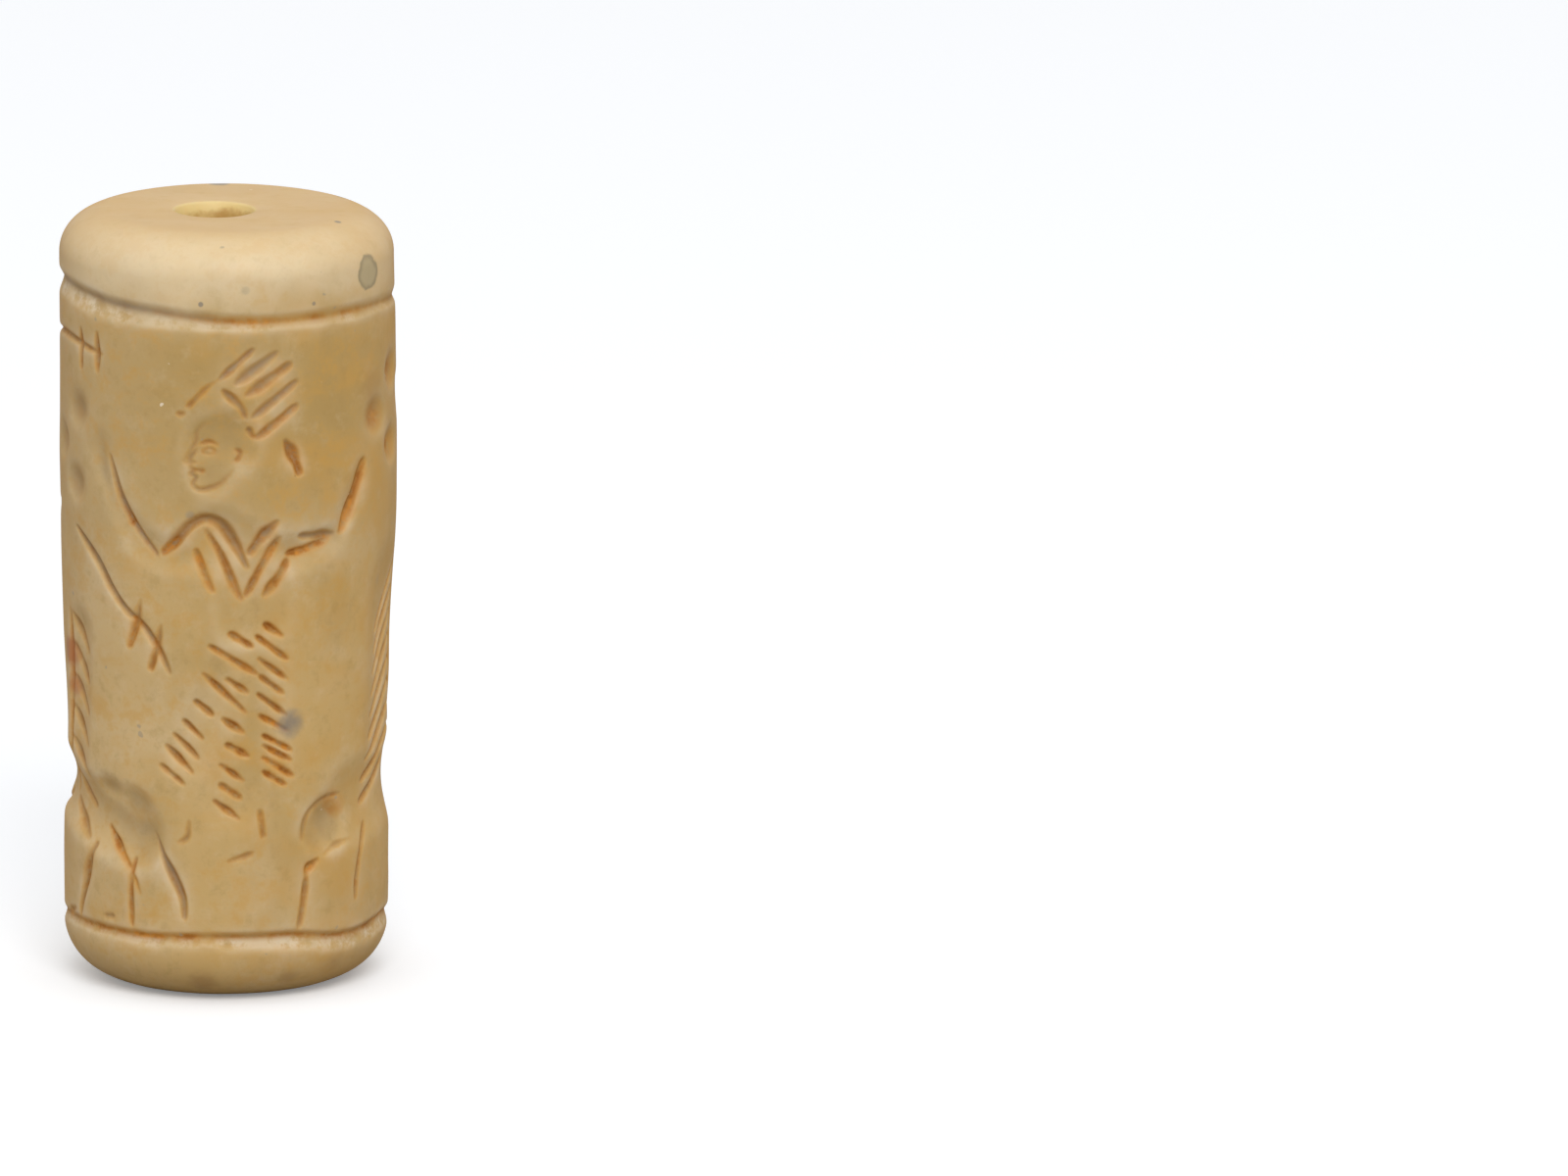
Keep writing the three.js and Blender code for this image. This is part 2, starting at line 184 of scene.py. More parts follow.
def cup(centre, rim, depth, grey=0.3, ochre=0, softness=1.25):
    window, distance, _ = near_path([centre, (centre[0] + 1e-3, centre[1])], rim)
    keep_hollow(window, (1 - (distance / rim).clip(0, 1)**2)**softness, depth, grey, ochre)


print(f"a worn stroke is {2 * BLUNTNESS:.2f} times as wide as it was cut")


# %% Rows of like strokes
def blend(first, last, share):
    return tuple(a + (b - a) * share for a, b in zip(first, last))


def shifted(point, *moves):
    return tuple(map(sum, zip(point, *moves)))


def stroke_row(count, first, last, sweep, last_sweep, jitter=0.08, **tool):
    for share in np.linspace(0, 1, count):
        head = shifted(blend(first, last, share), dice.uniform(-jitter, jitter, 2))
        tail = shifted(head, blend(sweep, last_sweep, share), dice.uniform(-jitter, jitter, 2))
        stroke([head, tail], **tool)


print("halfway along a row:", blend((0, 0), (4, -2), 0.5))


# %% [markdown]
# ## The border grooves
# Each border is one long groove run round the stone by hand, so it climbs and dips by up to a
# millimetre. Its upper wall is steep and its lower wall slopes, which is why light from above leaves
# a dark line with a pale lip under it. A ring cut out of the stone would be an even groove. Here it is a
# rule of height, and its middle and width are read from a list, so it can wander.


# %% A groove that wanders round the stone
def border_groove(course, above, depth, ochre, grey, chalk_and_highlight):
    """The course gives, round the stone, the crease's height, the width of the wall under it and its
    stain."""
    across = np.arange(COLUMNS) * PITCH
    places, *lists = zip(*sorted((place % TURN, *rest) for place, *rest in course))
    middle, below, stain = (np.interp(across, places, values, period=TURN) for values in lists)
    for _ in range(COLUMNS // 12):
        middle = (np.roll(middle, 1) + middle + np.roll(middle, -1)) / 3
    knots = np.arange(0, TURN, 0.9)
    ripple = np.interp(across, knots, dice.uniform(0.8, 1.15, len(knots)), period=TURN)
    away = np.arange(ROWS)[:, None] * PITCH - middle
    share = np.where(away > 0, away / above, -away / (below * ripple)).clip(0, 1)
    everywhere = slice(None)
    section = 0.6 * (1 - share**2)**1.6 + 0.4 * (1 - share)**2
    deepen("stroke", everywhere, depth * (0.35 + 0.65 * below) * ripple * section)
    crease = (1 - np.abs(away - 0.04) / 0.3).clip(0, 1)
    deepen("ochre", everywhere, ochre * stain * crease * (2.4 * ripple - 1.7).clip(0.15, 1))
    shadow = (1 - np.abs(away - 0.12) / 0.36).clip(0, 1)
    deepen("grey", everywhere, grey * shadow * (2.2 * below - 1.1).clip(0, 1))
    # On the lower wall lies a chalky crust, partly a painted highlight where light from above falls on it.
    crust_and_highlight = (1 - np.abs(away + 0.34 * below + 0.12) / (0.45 * below)).clip(0, 1)
    crust_and_highlight = (2.4 * ripple - 1.6).clip(0, 1) * (crust_and_highlight * 1.6).clip(0, 1)
    deepen("chalk_and_highlight", everywhere, chalk_and_highlight * crust_and_highlight * below)


border_groove(
    [(-12.7, 35.1, 0.8, 0.3), (-10.5, 35.2, 0.95, 0.15), (-8, 35, 1, 0.1), (-6.2, 34.75, 1, 0.15),
     (-3.2, 34.6, 0.85, 0.3), (-0.6, 34.35, 0.6, 0.6), (1.5, 34.25, 0.45, 0.8), (4.5, 34.3, 0.5, 0.55),
     (9, 34.3, 0.45, 0.35), (12.4, 34.1, 0.4, 0.4), (-15.5, 34.8, 0.8, 0.4), (-21.3, 34.3, 0.7, 0.5),
     (-26.4, 34.4, 0.8, 0.4), (-28.9, 33.9, 0.9, 0.3), (-35.3, 34, 0.7, 0.5)],
    above=0.52, depth=0.27, ochre=1.2, grey=1.2, chalk_and_highlight=0.8)
border_groove(
    [(-12.9, 3.2, 0.5, 0.6), (-10.9, 3.4, 0.5, 0.7), (-6.6, 3.4, 0.5, 1), (-4.1, 3.35, 0.6, 1.1),
     (-1.2, 3.5, 0.6, 0.8), (0.1, 3.5, 0.7, 0.35), (3.6, 3.45, 0.9, 0.6), (6, 3.05, 1, 1.1),
     (7.5, 3, 1, 1.1), (10.8, 3.3, 0.9, 0.9), (12.8, 3.1, 0.7, 0.7), (-15, 3.1, 0.7, 0.6),
     (-24, 2.8, 0.8, 0.6), (-31, 2.6, 0.7, 0.7), (-36, 2.8, 0.7, 0.5)],
    above=0.3, depth=0.23, ochre=1.5, grey=0.3, chalk_and_highlight=0.9)
print("deepest border cut", round(layers["stroke"].max(), 2), "mm")

# %% [markdown]
# ## The standing figure
# The figure stands in profile with both arms raised. Its head, chest and skirt are rubbed down a
# little first, as shallow troughs, and the strokes are then cut into their floors. The small profile is
# a plain one: brow, nose, lips and chin in even thirds, one almond eye halfway down the head, and an ear
# level with it.

# %% Head, hair and a plain profile
HAIR = [((1.3, 33), (-0.5, 31.4), 0.34, 0.5), ((2.5, 32.8), (0.3, 31.2), 0.55, 0.25),
        ((3.2, 32.2), (0.8, 30.6), 0.55, 0.8), ((3.5, 31.3), (1.1, 29.5), 0.48, 0.35),
        ((3.5, 30.1), (1.3, 28.5), 0.45, 0.8)]
for head, tail, width, ochre in HAIR:
    stroke([head, tail], width, 0.24, ochre, 0.9)
stroke([(-0.3, 31.6), (-1.1, 31), (-2.05, 30)], 0.28, 0.18, 0.6, deepest=0.75)
stroke([(-2.6, 29.7), (-2.1, 29.75)], 0.25, 0.15, 0.7)
stroke([(-0.3, 31), (0.6, 30.1), (0.85, 29.5)], 0.42, 0.28, 0.55, 0.6)
stroke([(0.95, 29.1), (1.25, 28.5)], 0.3, 0.2, 0.7)
stroke([(2.75, 28.4), (3.2, 27.6), (3.6, 26.5)], 0.55, 0.42, 0.95, 0.5)
HEAD_MIDDLE, HEAD_HEIGHT = (-0.1, 27.85), 3.9


def on_head(forward, down):
    """A place on the profile, in shares of the head's height: forward from the ear, down from the crown."""
    return HEAD_MIDDLE[0] - forward * HEAD_HEIGHT, HEAD_MIDDLE[1] + HEAD_HEIGHT * (0.5 - down)


trough([on_head(-0.02, 0.36), on_head(0.12, 0.42)], 3.3, 0.3, softness=0.8)
trough([on_head(0.1, 0.55), on_head(0.2, 0.76)], 2.3, 0.27, softness=0.8)
PROFILE = [(0.27, 0.12), (0.37, 0.24), (0.39, 0.38), (0.53, 0.61), (0.45, 0.655), (0.46, 0.7),
           (0.41, 0.735), (0.45, 0.78), (0.39, 0.83), (0.42, 0.91), (0.33, 0.98), (0.08, 0.9),
           (-0.1, 0.7)]
FACE = [(PROFILE, 0.22, 0.15, 0.35, 0.5),
        ([(0.36, 0.44), (0.47, 0.61), (0.38, 0.64)], 0.3, 0.2, 0.25, 0.3, 0.7),
        ([(0.1, 0.42), (0.22, 0.375), (0.36, 0.41)], 0.2, 0.14, 0.8, 0.2),
        ([(0.12, 0.5), (0.22, 0.46), (0.33, 0.5)], 0.14, 0.12, 0.9, 0.2),
        ([(0.12, 0.5), (0.22, 0.53), (0.33, 0.5)], 0.14, 0.1, 0.6, 0.2),
        ([(0.27, 0.75), (0.41, 0.735)], 0.18, 0.14, 0.8, 0.2),
        ([(-0.1, 0.46), (-0.17, 0.5), (-0.15, 0.58), (-0.09, 0.62)], 0.2, 0.16, 0.6, 0.3)]
for spots, *tool in FACE:
    stroke([on_head(*spot) for spot in spots], *tool)
cup(on_head(0.23, 0.495), 0.17, 0.09, grey=0.9)
cup(on_head(-0.1, 0.55), 0.2, 0.1)
print("head cut;", len(FACE), "strokes in its face")

# %% Chest, arms and belt
trough([(-0.5, 23.3), (0.9, 22.3), (1.3, 19.4)], 3.9, 0.34, softness=1)
trough([(-5.9, 24.9), (-4, 22.9), (-1.5, 22.7), (0.5, 22.6)], 2.2, 0.24, taper=0.4)
trough([(1.2, 22.9), (3.6, 22.7), (5.6, 23.2)], 2.2, 0.32, taper=0.3)
trough([(5.8, 23.4), (6.7, 24.9), (7.4, 26.6)], 1.6, 0.2, taper=0.4)
trough([(-6.1, 25), (-6.8, 26.6), (-7, 28.4)], 1.1, 0.16, taper=0.5, grey=0.75)
stroke([(-3.5, 22.6), (-2.7, 23.3), (-2, 24.1), (-1.2, 24.5), (-0.4, 24.2), (0.3, 23.2), (1, 21.9)],
       0.62, 0.42, 0.5, 0.9)
stroke([(-3.45, 22.65), (-2.5, 23.5)], 0.4, 0.26, 1.2, 0.1)
stroke([(-1.2, 24), (-0.35, 22.6), (0.25, 21.2), (0.7, 20.35)], 0.42, 0.28, 0.95, 0.5)
stroke([(-1.7, 23), (-1.3, 22), (-0.75, 20.8)], 0.42, 0.28, 1.1, 0.15)
stroke([(2.45, 24.4), (1.7, 23.6), (0.95, 22.6)], 0.56, 0.32, 0.8, 0.8)
stroke([(2.55, 23.6), (1.8, 22.3), (0.8, 20.5)], 0.42, 0.26, 0.9, 0.4)
stroke([(3.05, 22.4), (2.5, 21.5), (1.75, 20.5)], 0.46, 0.26, 1.1, 0.2)
stroke([(-3.65, 22.5), (-4.7, 23.7), (-5.7, 25.3), (-6.4, 27.4)], 0.4, 0.28, 0.35, 1, deepest=0.4)
stroke([(-4.9, 23.9), (-5.3, 24.5)], 0.4, 0.28, 1.3, 0.1)
stroke([(3.5, 23.5), (4.5, 23.4), (5.7, 23.35)], 0.5, 0.3, 0.3, 1)
stroke([(2.9, 22.6), (4.1, 22.8), (5.4, 23.2)], 0.4, 0.26, 1.1, 0.2)
stroke([(5.95, 23.3), (6.3, 23.9), (7.1, 25.5), (7.6, 26.9)], 0.56, 0.34, 1.15, 0.2)
print("arms raised; deepest stroke", round(layers["stroke"].max(), 2), "mm")

# %% [markdown]
# Columns of short slanting strokes step down the skirt, like a fringe in tiers. An array could repeat
# one stroke, but the real ones differ in slant, length and stain. So each is given by its two ends, and
# chance sets only its width and depth.

# %% The fringed skirt
FRINGE_RIGHT = [((1.8, 19.2), (2.8, 18.5)), ((1.4, 18.6), (3.1, 17.3)), ((1.5, 17.5), (3.1, 16.3)),
                ((1.6, 16.6), (2.9, 15.6)), ((1.5, 15.7), (3.1, 14.5)), ((1.6, 14.6), (3.2, 13.7)),
                ((1.8, 13.6), (3.4, 12.7)), ((1.8, 13.1), (3.4, 12.2)), ((1.8, 12.5), (3.5, 11.4)),
                ((1.8, 11.8), (3.1, 11))]
FRINGE_MIDDLE = [((0, 18.8), (1.3, 18)), ((-1, 18.2), (1.6, 16.6)), ((-0.1, 16.5), (1.1, 15.7)),
                 ((-1.3, 16.8), (1, 14.7)), ((-0.3, 14.5), (0.9, 13.7)), ((-0.1, 13.2), (1.2, 12.5)),
                 ((-0.4, 12.2), (0.9, 11.3)), ((-0.4, 11.2), (0.8, 10.4)), ((-0.7, 10.4), (0.7, 9.4))]
FRINGE_LEFT = [((-1.7, 15.4), (-0.7, 14.6)), ((-2.3, 14.4), (-1.2, 13.4)), ((-2.8, 13.7), (-1.4, 12.4)),
               ((-3.2, 13.1), (-1.7, 11.7)), ((-3.5, 12.1), (-2.1, 11.1))]
trough([(1.5, 18.6), (1, 14.5), (0.4, 10.4)], 4.4, 0.2, taper=0.2, softness=1.2)
trough([(0, 16.5), (-1.8, 12.8)], 2.8, 0.14, softness=1.2)
for fringe, ochre in ((FRINGE_RIGHT[:5], 1.02), (FRINGE_RIGHT[5:], 1.56), (FRINGE_MIDDLE, 0.96),
                      (FRINGE_LEFT, 0.72)):
    for head, tail in fringe:
        width, depth = dice.uniform(0.25, 0.34), dice.uniform(0.24, 0.34)
        stroke([head, tail], width, depth, ochre, deepest=0.45)
stroke([(-1.9, 9.4), (-2, 8.5), (-2.5, 8.2)], 0.24, 0.14, 0.7)
stroke([(1.7, 9.9), (1.9, 8.4)], 0.34, 0.2, 0.8)
stroke([(0, 7.3), (0.7, 7.5), (1.4, 7.75)], 0.24, 0.14, 0.6)
print("skirt fringed with", len(FRINGE_RIGHT + FRINGE_MIDDLE + FRINGE_LEFT), "strokes")

# %% [markdown]
# ## The two beasts
# Both beasts are made the same way: a cup for the rump, a cup for the chest, a trough for the barrel
# between them, and a second trough for the neck. Thin strokes add the mane, the legs and the head, and
# a feathered plume stands up behind the neck. One function draws either beast from its own numbers,
# measured forward from the rump.


# %% A beast in profile, and the first one
def beast(rump, facing, rump_cup, chest_cup, barrel, neck, plume, mane, head, legs, hooves):
    def at(*points):
        return [(rump[0] + facing * forward, high) for forward, high in points]

    cup(rump, *rump_cup)
    cup(*at(chest_cup[0]), *chest_cup[1:])
    trough(at(*barrel[0]), *barrel[1:], softness=1.3)
    trough(at(*neck[0]), *neck[1:], softness=1.4)
    top, foot, spread, count, lean, plume_depth = plume
    vane = at((top[0] - spread / 2, top[1] - 1), (foot[0] - spread / 2, foot[1] + 0.6))
    trough(vane, spread * 1.2, 0.26)
    stroke(at(top, foot), 0.4, 0.3, 0.9, 0.4)
    for share in np.linspace(0, 1, count):
        root = shifted(blend(top, foot, share), (-0.15, -0.2))
        tip = shifted(root, (-spread * (0.75 + 0.25 * share), blend(lean[:1], lean[1:], share)[0]))
        stroke(at(root, tip), 0.48, plume_depth, 0.5, 0.35)
    first, last, count, sweep = mane
    for share in np.linspace(0, 1, count):
        root = blend(first, last, share)
        stroke(at(root, shifted(root, sweep)), 0.5, 0.28, 0.55, 0.35)
    for line in head:
        stroke(at(*line), 0.42, 0.28, 0.4, 0.35)
    for *joints, width in legs:
        stroke(at(*joints), width, 0.28, 0.6, 0.45, deepest=0.4)
    for toe in hooves:
        stroke(at(toe, shifted(toe, (1.3, -0.45))), 0.34, 0.2, 0.5, 0.2)


beast(
    rump=(-5.5, 8.6), facing=-1, rump_cup=(1.7, 0.3), chest_cup=((9.4, 10.2), 2.9, 0.7),
    barrel=([(-0.6, 8.3), (3.2, 9.3), (6.6, 10.2), (9.6, 10.2)], 3.9, 0.62),
    neck=([(8.2, 10.4), (8, 12.8), (9, 15.8)], 4.4, 0.5),
    plume=((4.9, 19), (5.4, 9.5), 2.4, 7, (-1.9, -1.7), 0.18),
    mane=((7, 16.2), (6.6, 9.4), 6, (1.7, -1.3)),
    head=[[(9, 17.6), (11.7, 16.2), (12.9, 14.5)], [(9.4, 16.9), (10.1, 15), (11, 15)],
          [(11, 15), (12, 14.9), (12.9, 14.5)]],
    legs=[], hooves=[(4.2, 3.9), (7.8, 3.6), (12.4, 3.6)],
)
print("first beast cut to", round(layers["hollow"].max(), 2), "mm")

# %% The first beast's breast and legs
cup((-5.2, 9.3), 1.65, 0.5, grey=0.6, softness=0.9)
trough([(-8, 10.3), (-6.6, 10.2), (-5.4, 9.8)], 1.9, 0.42, taper=0.5, softness=0.9)
stroke([(-3.9, 8.7), (-3.3, 7.5), (-2.7, 6.4), (-2.25, 5.4), (-2.15, 4.3)], 0.46, 0.4, 0.4, 0.9, deepest=0.68)
stroke([(-7.2, 8.5), (-6.3, 7.6), (-5.2, 6.6)], 0.32, 0.26, 1.3, 0.1)
stroke([(-5.3, 6.7), (-4.9, 6.1), (-4.55, 5.4)], 0.2, 0.16, 1, 0.3)
stroke([(-5.05, 7.2), (-5.15, 5.8), (-5.1, 3.7)], 0.3, 0.26, 0.9, 0.7)
stroke([(-7.7, 7.6), (-8.3, 6.4), (-8.8, 5.2)], 0.42, 0.28, 0.7, 0.7)
stroke([(-7, 4), (-6.2, 4.1)], 0.3, 0.14, 0.3, 0.5)
for leg in ([(-13.1, 7.4), (-12.9, 5), (-12.9, 3.5)], [(-15.4, 7.6), (-16.4, 5.4), (-17.2, 3.4)],
            [(-7.9, 7.2), (-8.9, 4.6), (-9.2, 3.6)]):
    stroke(leg, 0.5, 0.32, 0.5, 0.4)
print("breast and legs cut")

# %% The second beast
beast(
    rump=(-45.7, 8.9), facing=1, rump_cup=(1.65, 0.62, 0.35), chest_cup=((8.4, 10), 2.9, 0.5),
    barrel=([(1.6, 9.6), (5, 10.1), (8.6, 10.1)], 4.8, 0.4),
    neck=([(8.4, 10.2), (8.8, 12.8), (10.2, 15.4)], 3.8, 0.42),
    plume=((7.1, 20.9), (7.1, 11.6), 4.4, 9, (-3, -2.1), 0.34),
    mane=((9.4, 16.6), (8, 9.9), 7, (1.4, -1.6)),
    head=[[(11, 17.9), (12.4, 18.4), (14.1, 18.7)], [(14.1, 18.7), (12.6, 17.1), (12.4, 16)],
          [(12.4, 16), (10.2, 15.5)], [(10.8, 18.4), (10, 16)]],
    legs=[[(10.4, 7.8), (10.8, 3.7), 0.42], [(8.9, 8.2), (7.4, 6.9), (6.4, 3.5), 0.42]],
    hooves=[(11.2, 4.2), (7, 4)],
)
cup((5.1, 8.5), 1.3, 0.36, softness=0.9)
stroke([(4, 8.1), (4.35, 9.4), (5.5, 10.05), (6.7, 10.1)], 0.34, 0.15, 0.45, 0.6)
trough([(5.9, 10), (6.5, 9.5)], 1.3, 0.12, ochre=0.8)
stroke([(5.2, 7.2), (6.1, 7.6), (7.2, 7.8)], 0.24, 0.12, 0.25, 0.1)
stroke([(5, 7.1), (4.35, 6.7), (4.2, 6.2)], 0.4, 0.26, 1.3, 0.1)
stroke([(4.25, 6.4), (4.05, 5), (3.75, 3.6)], 0.36, 0.24, 0.6, 0.5)
stroke([(8.6, 8.4), (8, 7.2), (7.6, 5.8), (7.5, 4.6)], 0.3, 0.22, 0.6, 0.5)
print("second beast cut")

# %% [markdown]
# ## The bird, the crescent and the small signs
# The bird is seen from the front with its wings raised. Its feathers hang from the leading edge of each
# wing. An array along it would make them all alike, so a list gives each its own top and tip. Under the
# bird lies a crescent with a row of upright ticks. Two clusters of four drilled cups, a ticked bar and
# two barbed shafts fill the rest of the field.

# %% Spread bird
NEAR_WING = [(-16.8, 30.5), (-18, 28.5), (-19.7, 26.1), (-22.6, 23.2)]
FAR_WING = [(-27.1, 24.4), (-29.4, 25.6), (-31.9, 27.6), (-33.8, 29.8), (-34.6, 31.2)]
FEATHERS = [(-16.8, 29.9, 25), (-17.6, 27.6, 23.4), (-18.8, 25.6, 21.7), (-19.8, 25, 20.4),
            (-21, 23.8, 19.8), (-22, 22.5, 18.8), (-22.9, 22.7, 20.6), (-34.2, 30.2, 27.9),
            (-33.1, 28.4, 25.4), (-31.9, 27.1, 23.6), (-30.7, 26, 21.8), (-29.6, 25.3, 20.8),
            (-28.8, 24.9, 20.2), (-27.8, 24.3, 19.6), (-26.9, 24.4, 20.9)]
BODY = [([(-25.1, 24), (-25.1, 19)], 3.6, 0.72, 0.2, 1),
        ([(-25.2, 15.2), (-25.3, 12.4), (-25.6, 10.2)], 3.4, 0.35, 0, 0.9),
        ([(-24.6, 10.4), (-26.8, 10.4)], 2.9, 0.5, 0, 0.9),
        ([(-23.4, 26.9), (-25.1, 28), (-26.6, 28.7)], 1.5, 0.4),
        (NEAR_WING, 3.4, 0.16), (FAR_WING, 3.4, 0.16)]
for points, *tool in BODY:
    trough(points, *tool, grey=0.2)
for edge in (NEAR_WING, FAR_WING):
    stroke(edge, 0.5, 0.32, 0.5)
for across, high, low in FEATHERS:
    stroke([(across, high), (across + 0.1, low)], 0.38, 0.24, 0.55, deepest=0.4)
for beak in ([(-28.7, 29.8), (-25.6, 28.9)], [(-28.8, 29.6), (-26.7, 28.5), (-25.7, 27.7)],
             [(-25.1, 28.8), (-22.9, 26.7)], [(-22.7, 25.8), (-24, 25.7), (-25.5, 26.3)],
             [(-24.1, 16.9), (-25.8, 17)], [(-23.7, 15.8), (-26.7, 16.1)]):
    stroke(beak, 0.42, 0.3, 0.5)
for x, high, low in ((-24, 23.5, 21.6), (-25.1, 23.6, 21.4), (-23.7, 20.8, 18.1), (-24.9, 20.9, 18.5)):
    stroke([(x, high), (x - 0.1, low)], 0.34, 0.24, 0.5)
for x, high, drift, low in ((-23.4, 15.6, 0.1, 9.5), (-24.4, 15.4, 0.1, 9.3), (-25.4, 15.2, -0.2, 9.6),
                            (-26.3, 15.4, -0.4, 10), (-27.2, 14.6, -1, 11)):
    stroke([(x, high), (x + drift, low)], 0.36, 0.24, 0.5)
for leg in ([(-22.1, 15.2), (-20.3, 11.9)], [(-20.7, 11.8), (-21.2, 10.3)],
            [(-27.5, 17.9), (-30.9, 12.6), (-32.1, 11.9)], [(-31.3, 11.6), (-31.8, 10.8)]):
    stroke(leg, 0.4, 0.28, 0.5)
print("bird with", len(FEATHERS), "wing feathers")

# %% Crescent, clusters, bar and shafts
stroke([(-20.2, 8.7), (-20.4, 6.8), (-20.9, 5.2), (-22, 3.9), (-23.3, 3.5), (-25.6, 3.5), (-27.9, 3.6),
        (-29.7, 3.9), (-31.5, 4.6), (-33.2, 6)], 0.5, 0.34, 0.5, 0.4)
stroke_row(7, (-23.7, 6.5), (-31.7, 8), (-0.1, -2.3), (-0.3, -2.2), width=0.36, depth=0.26)
CUP_OFFSETS = (2, 0.2), (0.15, 1.8), (-2, -0.1), (-0.1, -1.9)
CLUSTERS = [((-9.1, 27.4), (0.08, 0.3, 0.3, 0.34), 1.3, 0.4),
            ((10.7, 28.9), (0.32, 0.36, 0.36, 0.36), 0.9, 1.5)]
for centre, depths, grey, ochre in CLUSTERS:
    for depth, offset in zip(depths, CUP_OFFSETS):
        cup(shifted(centre, offset), 1.15, depth, grey=depth * grey, ochre=depth * ochre, softness=1.6)
BAR = 32.35
stroke([(-6.8, BAR - 0.15), (-10.3, BAR + 0.35), (-14, BAR), (-20.9, BAR - 0.3)], 0.42, 0.3, 0.6, 0.4)
for tick in (-7.25, -8.6, -14.5, -15.4, -19.1, -19.9):
    stroke([(tick, BAR + 1), (tick + 0.05, BAR - 1.15)], 0.34, 0.24, 0.7, 0.5)
stroke([(-9.3, 23.3), (-7.5, 21.9), (-6.4, 20.6), (-5.4, 19.6), (-4.5, 19), (-3.6, 17.9), (-2.9, 16.6)],
       0.46, 0.34, 0.3, 0.8, deepest=0.45)
stroke([(-4.5, 20.4), (-4.8, 19.2), (-5.3, 17.7)], 0.46, 0.28, 1, 0.3, deepest=0.7)
stroke([(-3.4, 19.2), (-3.65, 18), (-4.05, 16.7)], 0.42, 0.28, 1, 0.4, deepest=0.7)
stroke([(-12, 24), (-13, 23.5), (-15.5, 21.5), (-17.6, 19.5), (-18.8, 18), (-19.6, 16.4)],
       0.72, 0.45, 0.6, 0.4)
for barb in ([(-17.7, 20.9), (-17.1, 18.6)], [(-18.5, 19.9), (-17.9, 17.7)]):
    stroke(barb, 0.34, 0.24, 0.5)
print("deepest hollow", round(layers["hollow"].max(), 2), "mm; deepest stroke",
      round(layers["stroke"].max(), 2), "mm")

# %% [markdown]
# ## Handling wear
# Long handling has softened every edge. A bevel can't follow crossing cuts, but in a raster wear is
# just a blur: each cell takes the mean of its neighbours a few times. Hollows are blurred more than
# strokes. The difference between the cut depth and a much wider blur then tells where the surface is a
# valley, which gets dirt and painted shade, and where it is a lip, which is painted paler, partly as
# rubbed wear and partly as a painted highlight.


# %% Soften the cuts, find valleys and lips
def softened(field, distance):
    """A blur that reaches about the given number of millimetres, and joins up round the stone."""
    for _ in range(max(1, round(2 * (distance / PITCH) ** 2))):
        field = (np.roll(field, 1, 1) + 2 * field + np.roll(field, -1, 1)) / 4
        edged = np.pad(field, ((1, 1), (0, 0)), mode="edge")
        field = (edged[:-2] + 2 * field + edged[2:]) / 4
    return field


cut = (softened(layers["hollow"], 0.2) + softened(layers["stroke"], 0.06) * 0.8
       + softened(layers["stroke"], 0.2) * 0.3)
relief = cut - softened(cut, 0.3)
maps = {
    "cut": cut,
    "ochre": softened(layers["ochre"], 0.05) + softened(layers["ochre"], 0.3) * 0.3,
    "grey": softened(layers["grey"], 0.07) + softened(layers["grey"], 0.3) * 0.25,
    "chalk_and_highlight": softened(layers["chalk_and_highlight"], 0.06),
    "valley": (relief / 0.1).clip(0, 1),
    "lip": (-relief / 0.05).clip(0, 1),
}
print("cut up to", round(cut.max(), 2), "mm; lips on", f"{(maps['lip'] > 0.3).mean():.0%} of the side")

# %% [markdown]
# ## Rolling the sheet into a stone
# The whole skin of the seal is one strip, joined to itself both ways: round the stone, and along the
# outline that goes up the side, over the upper end, down through the string hole and out over the lower
# end. A number called zone says where on that outline a row lies: 0 to 1 is the lower edge, 1 to 2 the
# side, 2 to 3 the upper edge, 3 to 4 the upper end, 4 to 5 the hole and 5 to 6 the lower end.
#
# The rule that turns a turn and a zone into a place is the same for every point, so a Geometry Nodes
# tree does it. Its named inputs are the sizes of the stone: change one, and the stone follows.

# %% Rows of the strip, closer together where the outline turns
SIDE_RISE = HEIGHT - FOOT_EDGE_RISE - TOP_EDGE_RISE
side_rows = np.arange(math.ceil(FOOT_EDGE_RISE / PITCH), int((HEIGHT - TOP_EDGE_RISE) / PITCH) + 1) * PITCH
bore_share = np.linspace(0, 1, 70)
zones = np.concatenate([
    np.linspace(0, 1, 48, endpoint=False),
    1 + (side_rows - FOOT_EDGE_RISE) / SIDE_RISE,
    np.linspace(2, 3, 38)[1:],
    4 - np.linspace(1, 0, 34)[1:] ** 1.8,
    4 + (bore_share - 0.13 * np.sin(2 * np.pi * bore_share))[1:],
    5 + np.linspace(0, 1, 26)[1:-1] ** 1.5,
])
lower, side, upper = (np.clip(zones - start, 0, 1) for start in range(3))
heights = (FOOT_EDGE_RISE * (1 - np.cos(lower * np.pi / 2)) + SIDE_RISE * side
           + TOP_EDGE_RISE * np.sin(upper * np.pi / 2))
print(len(zones), "rows along the outline")

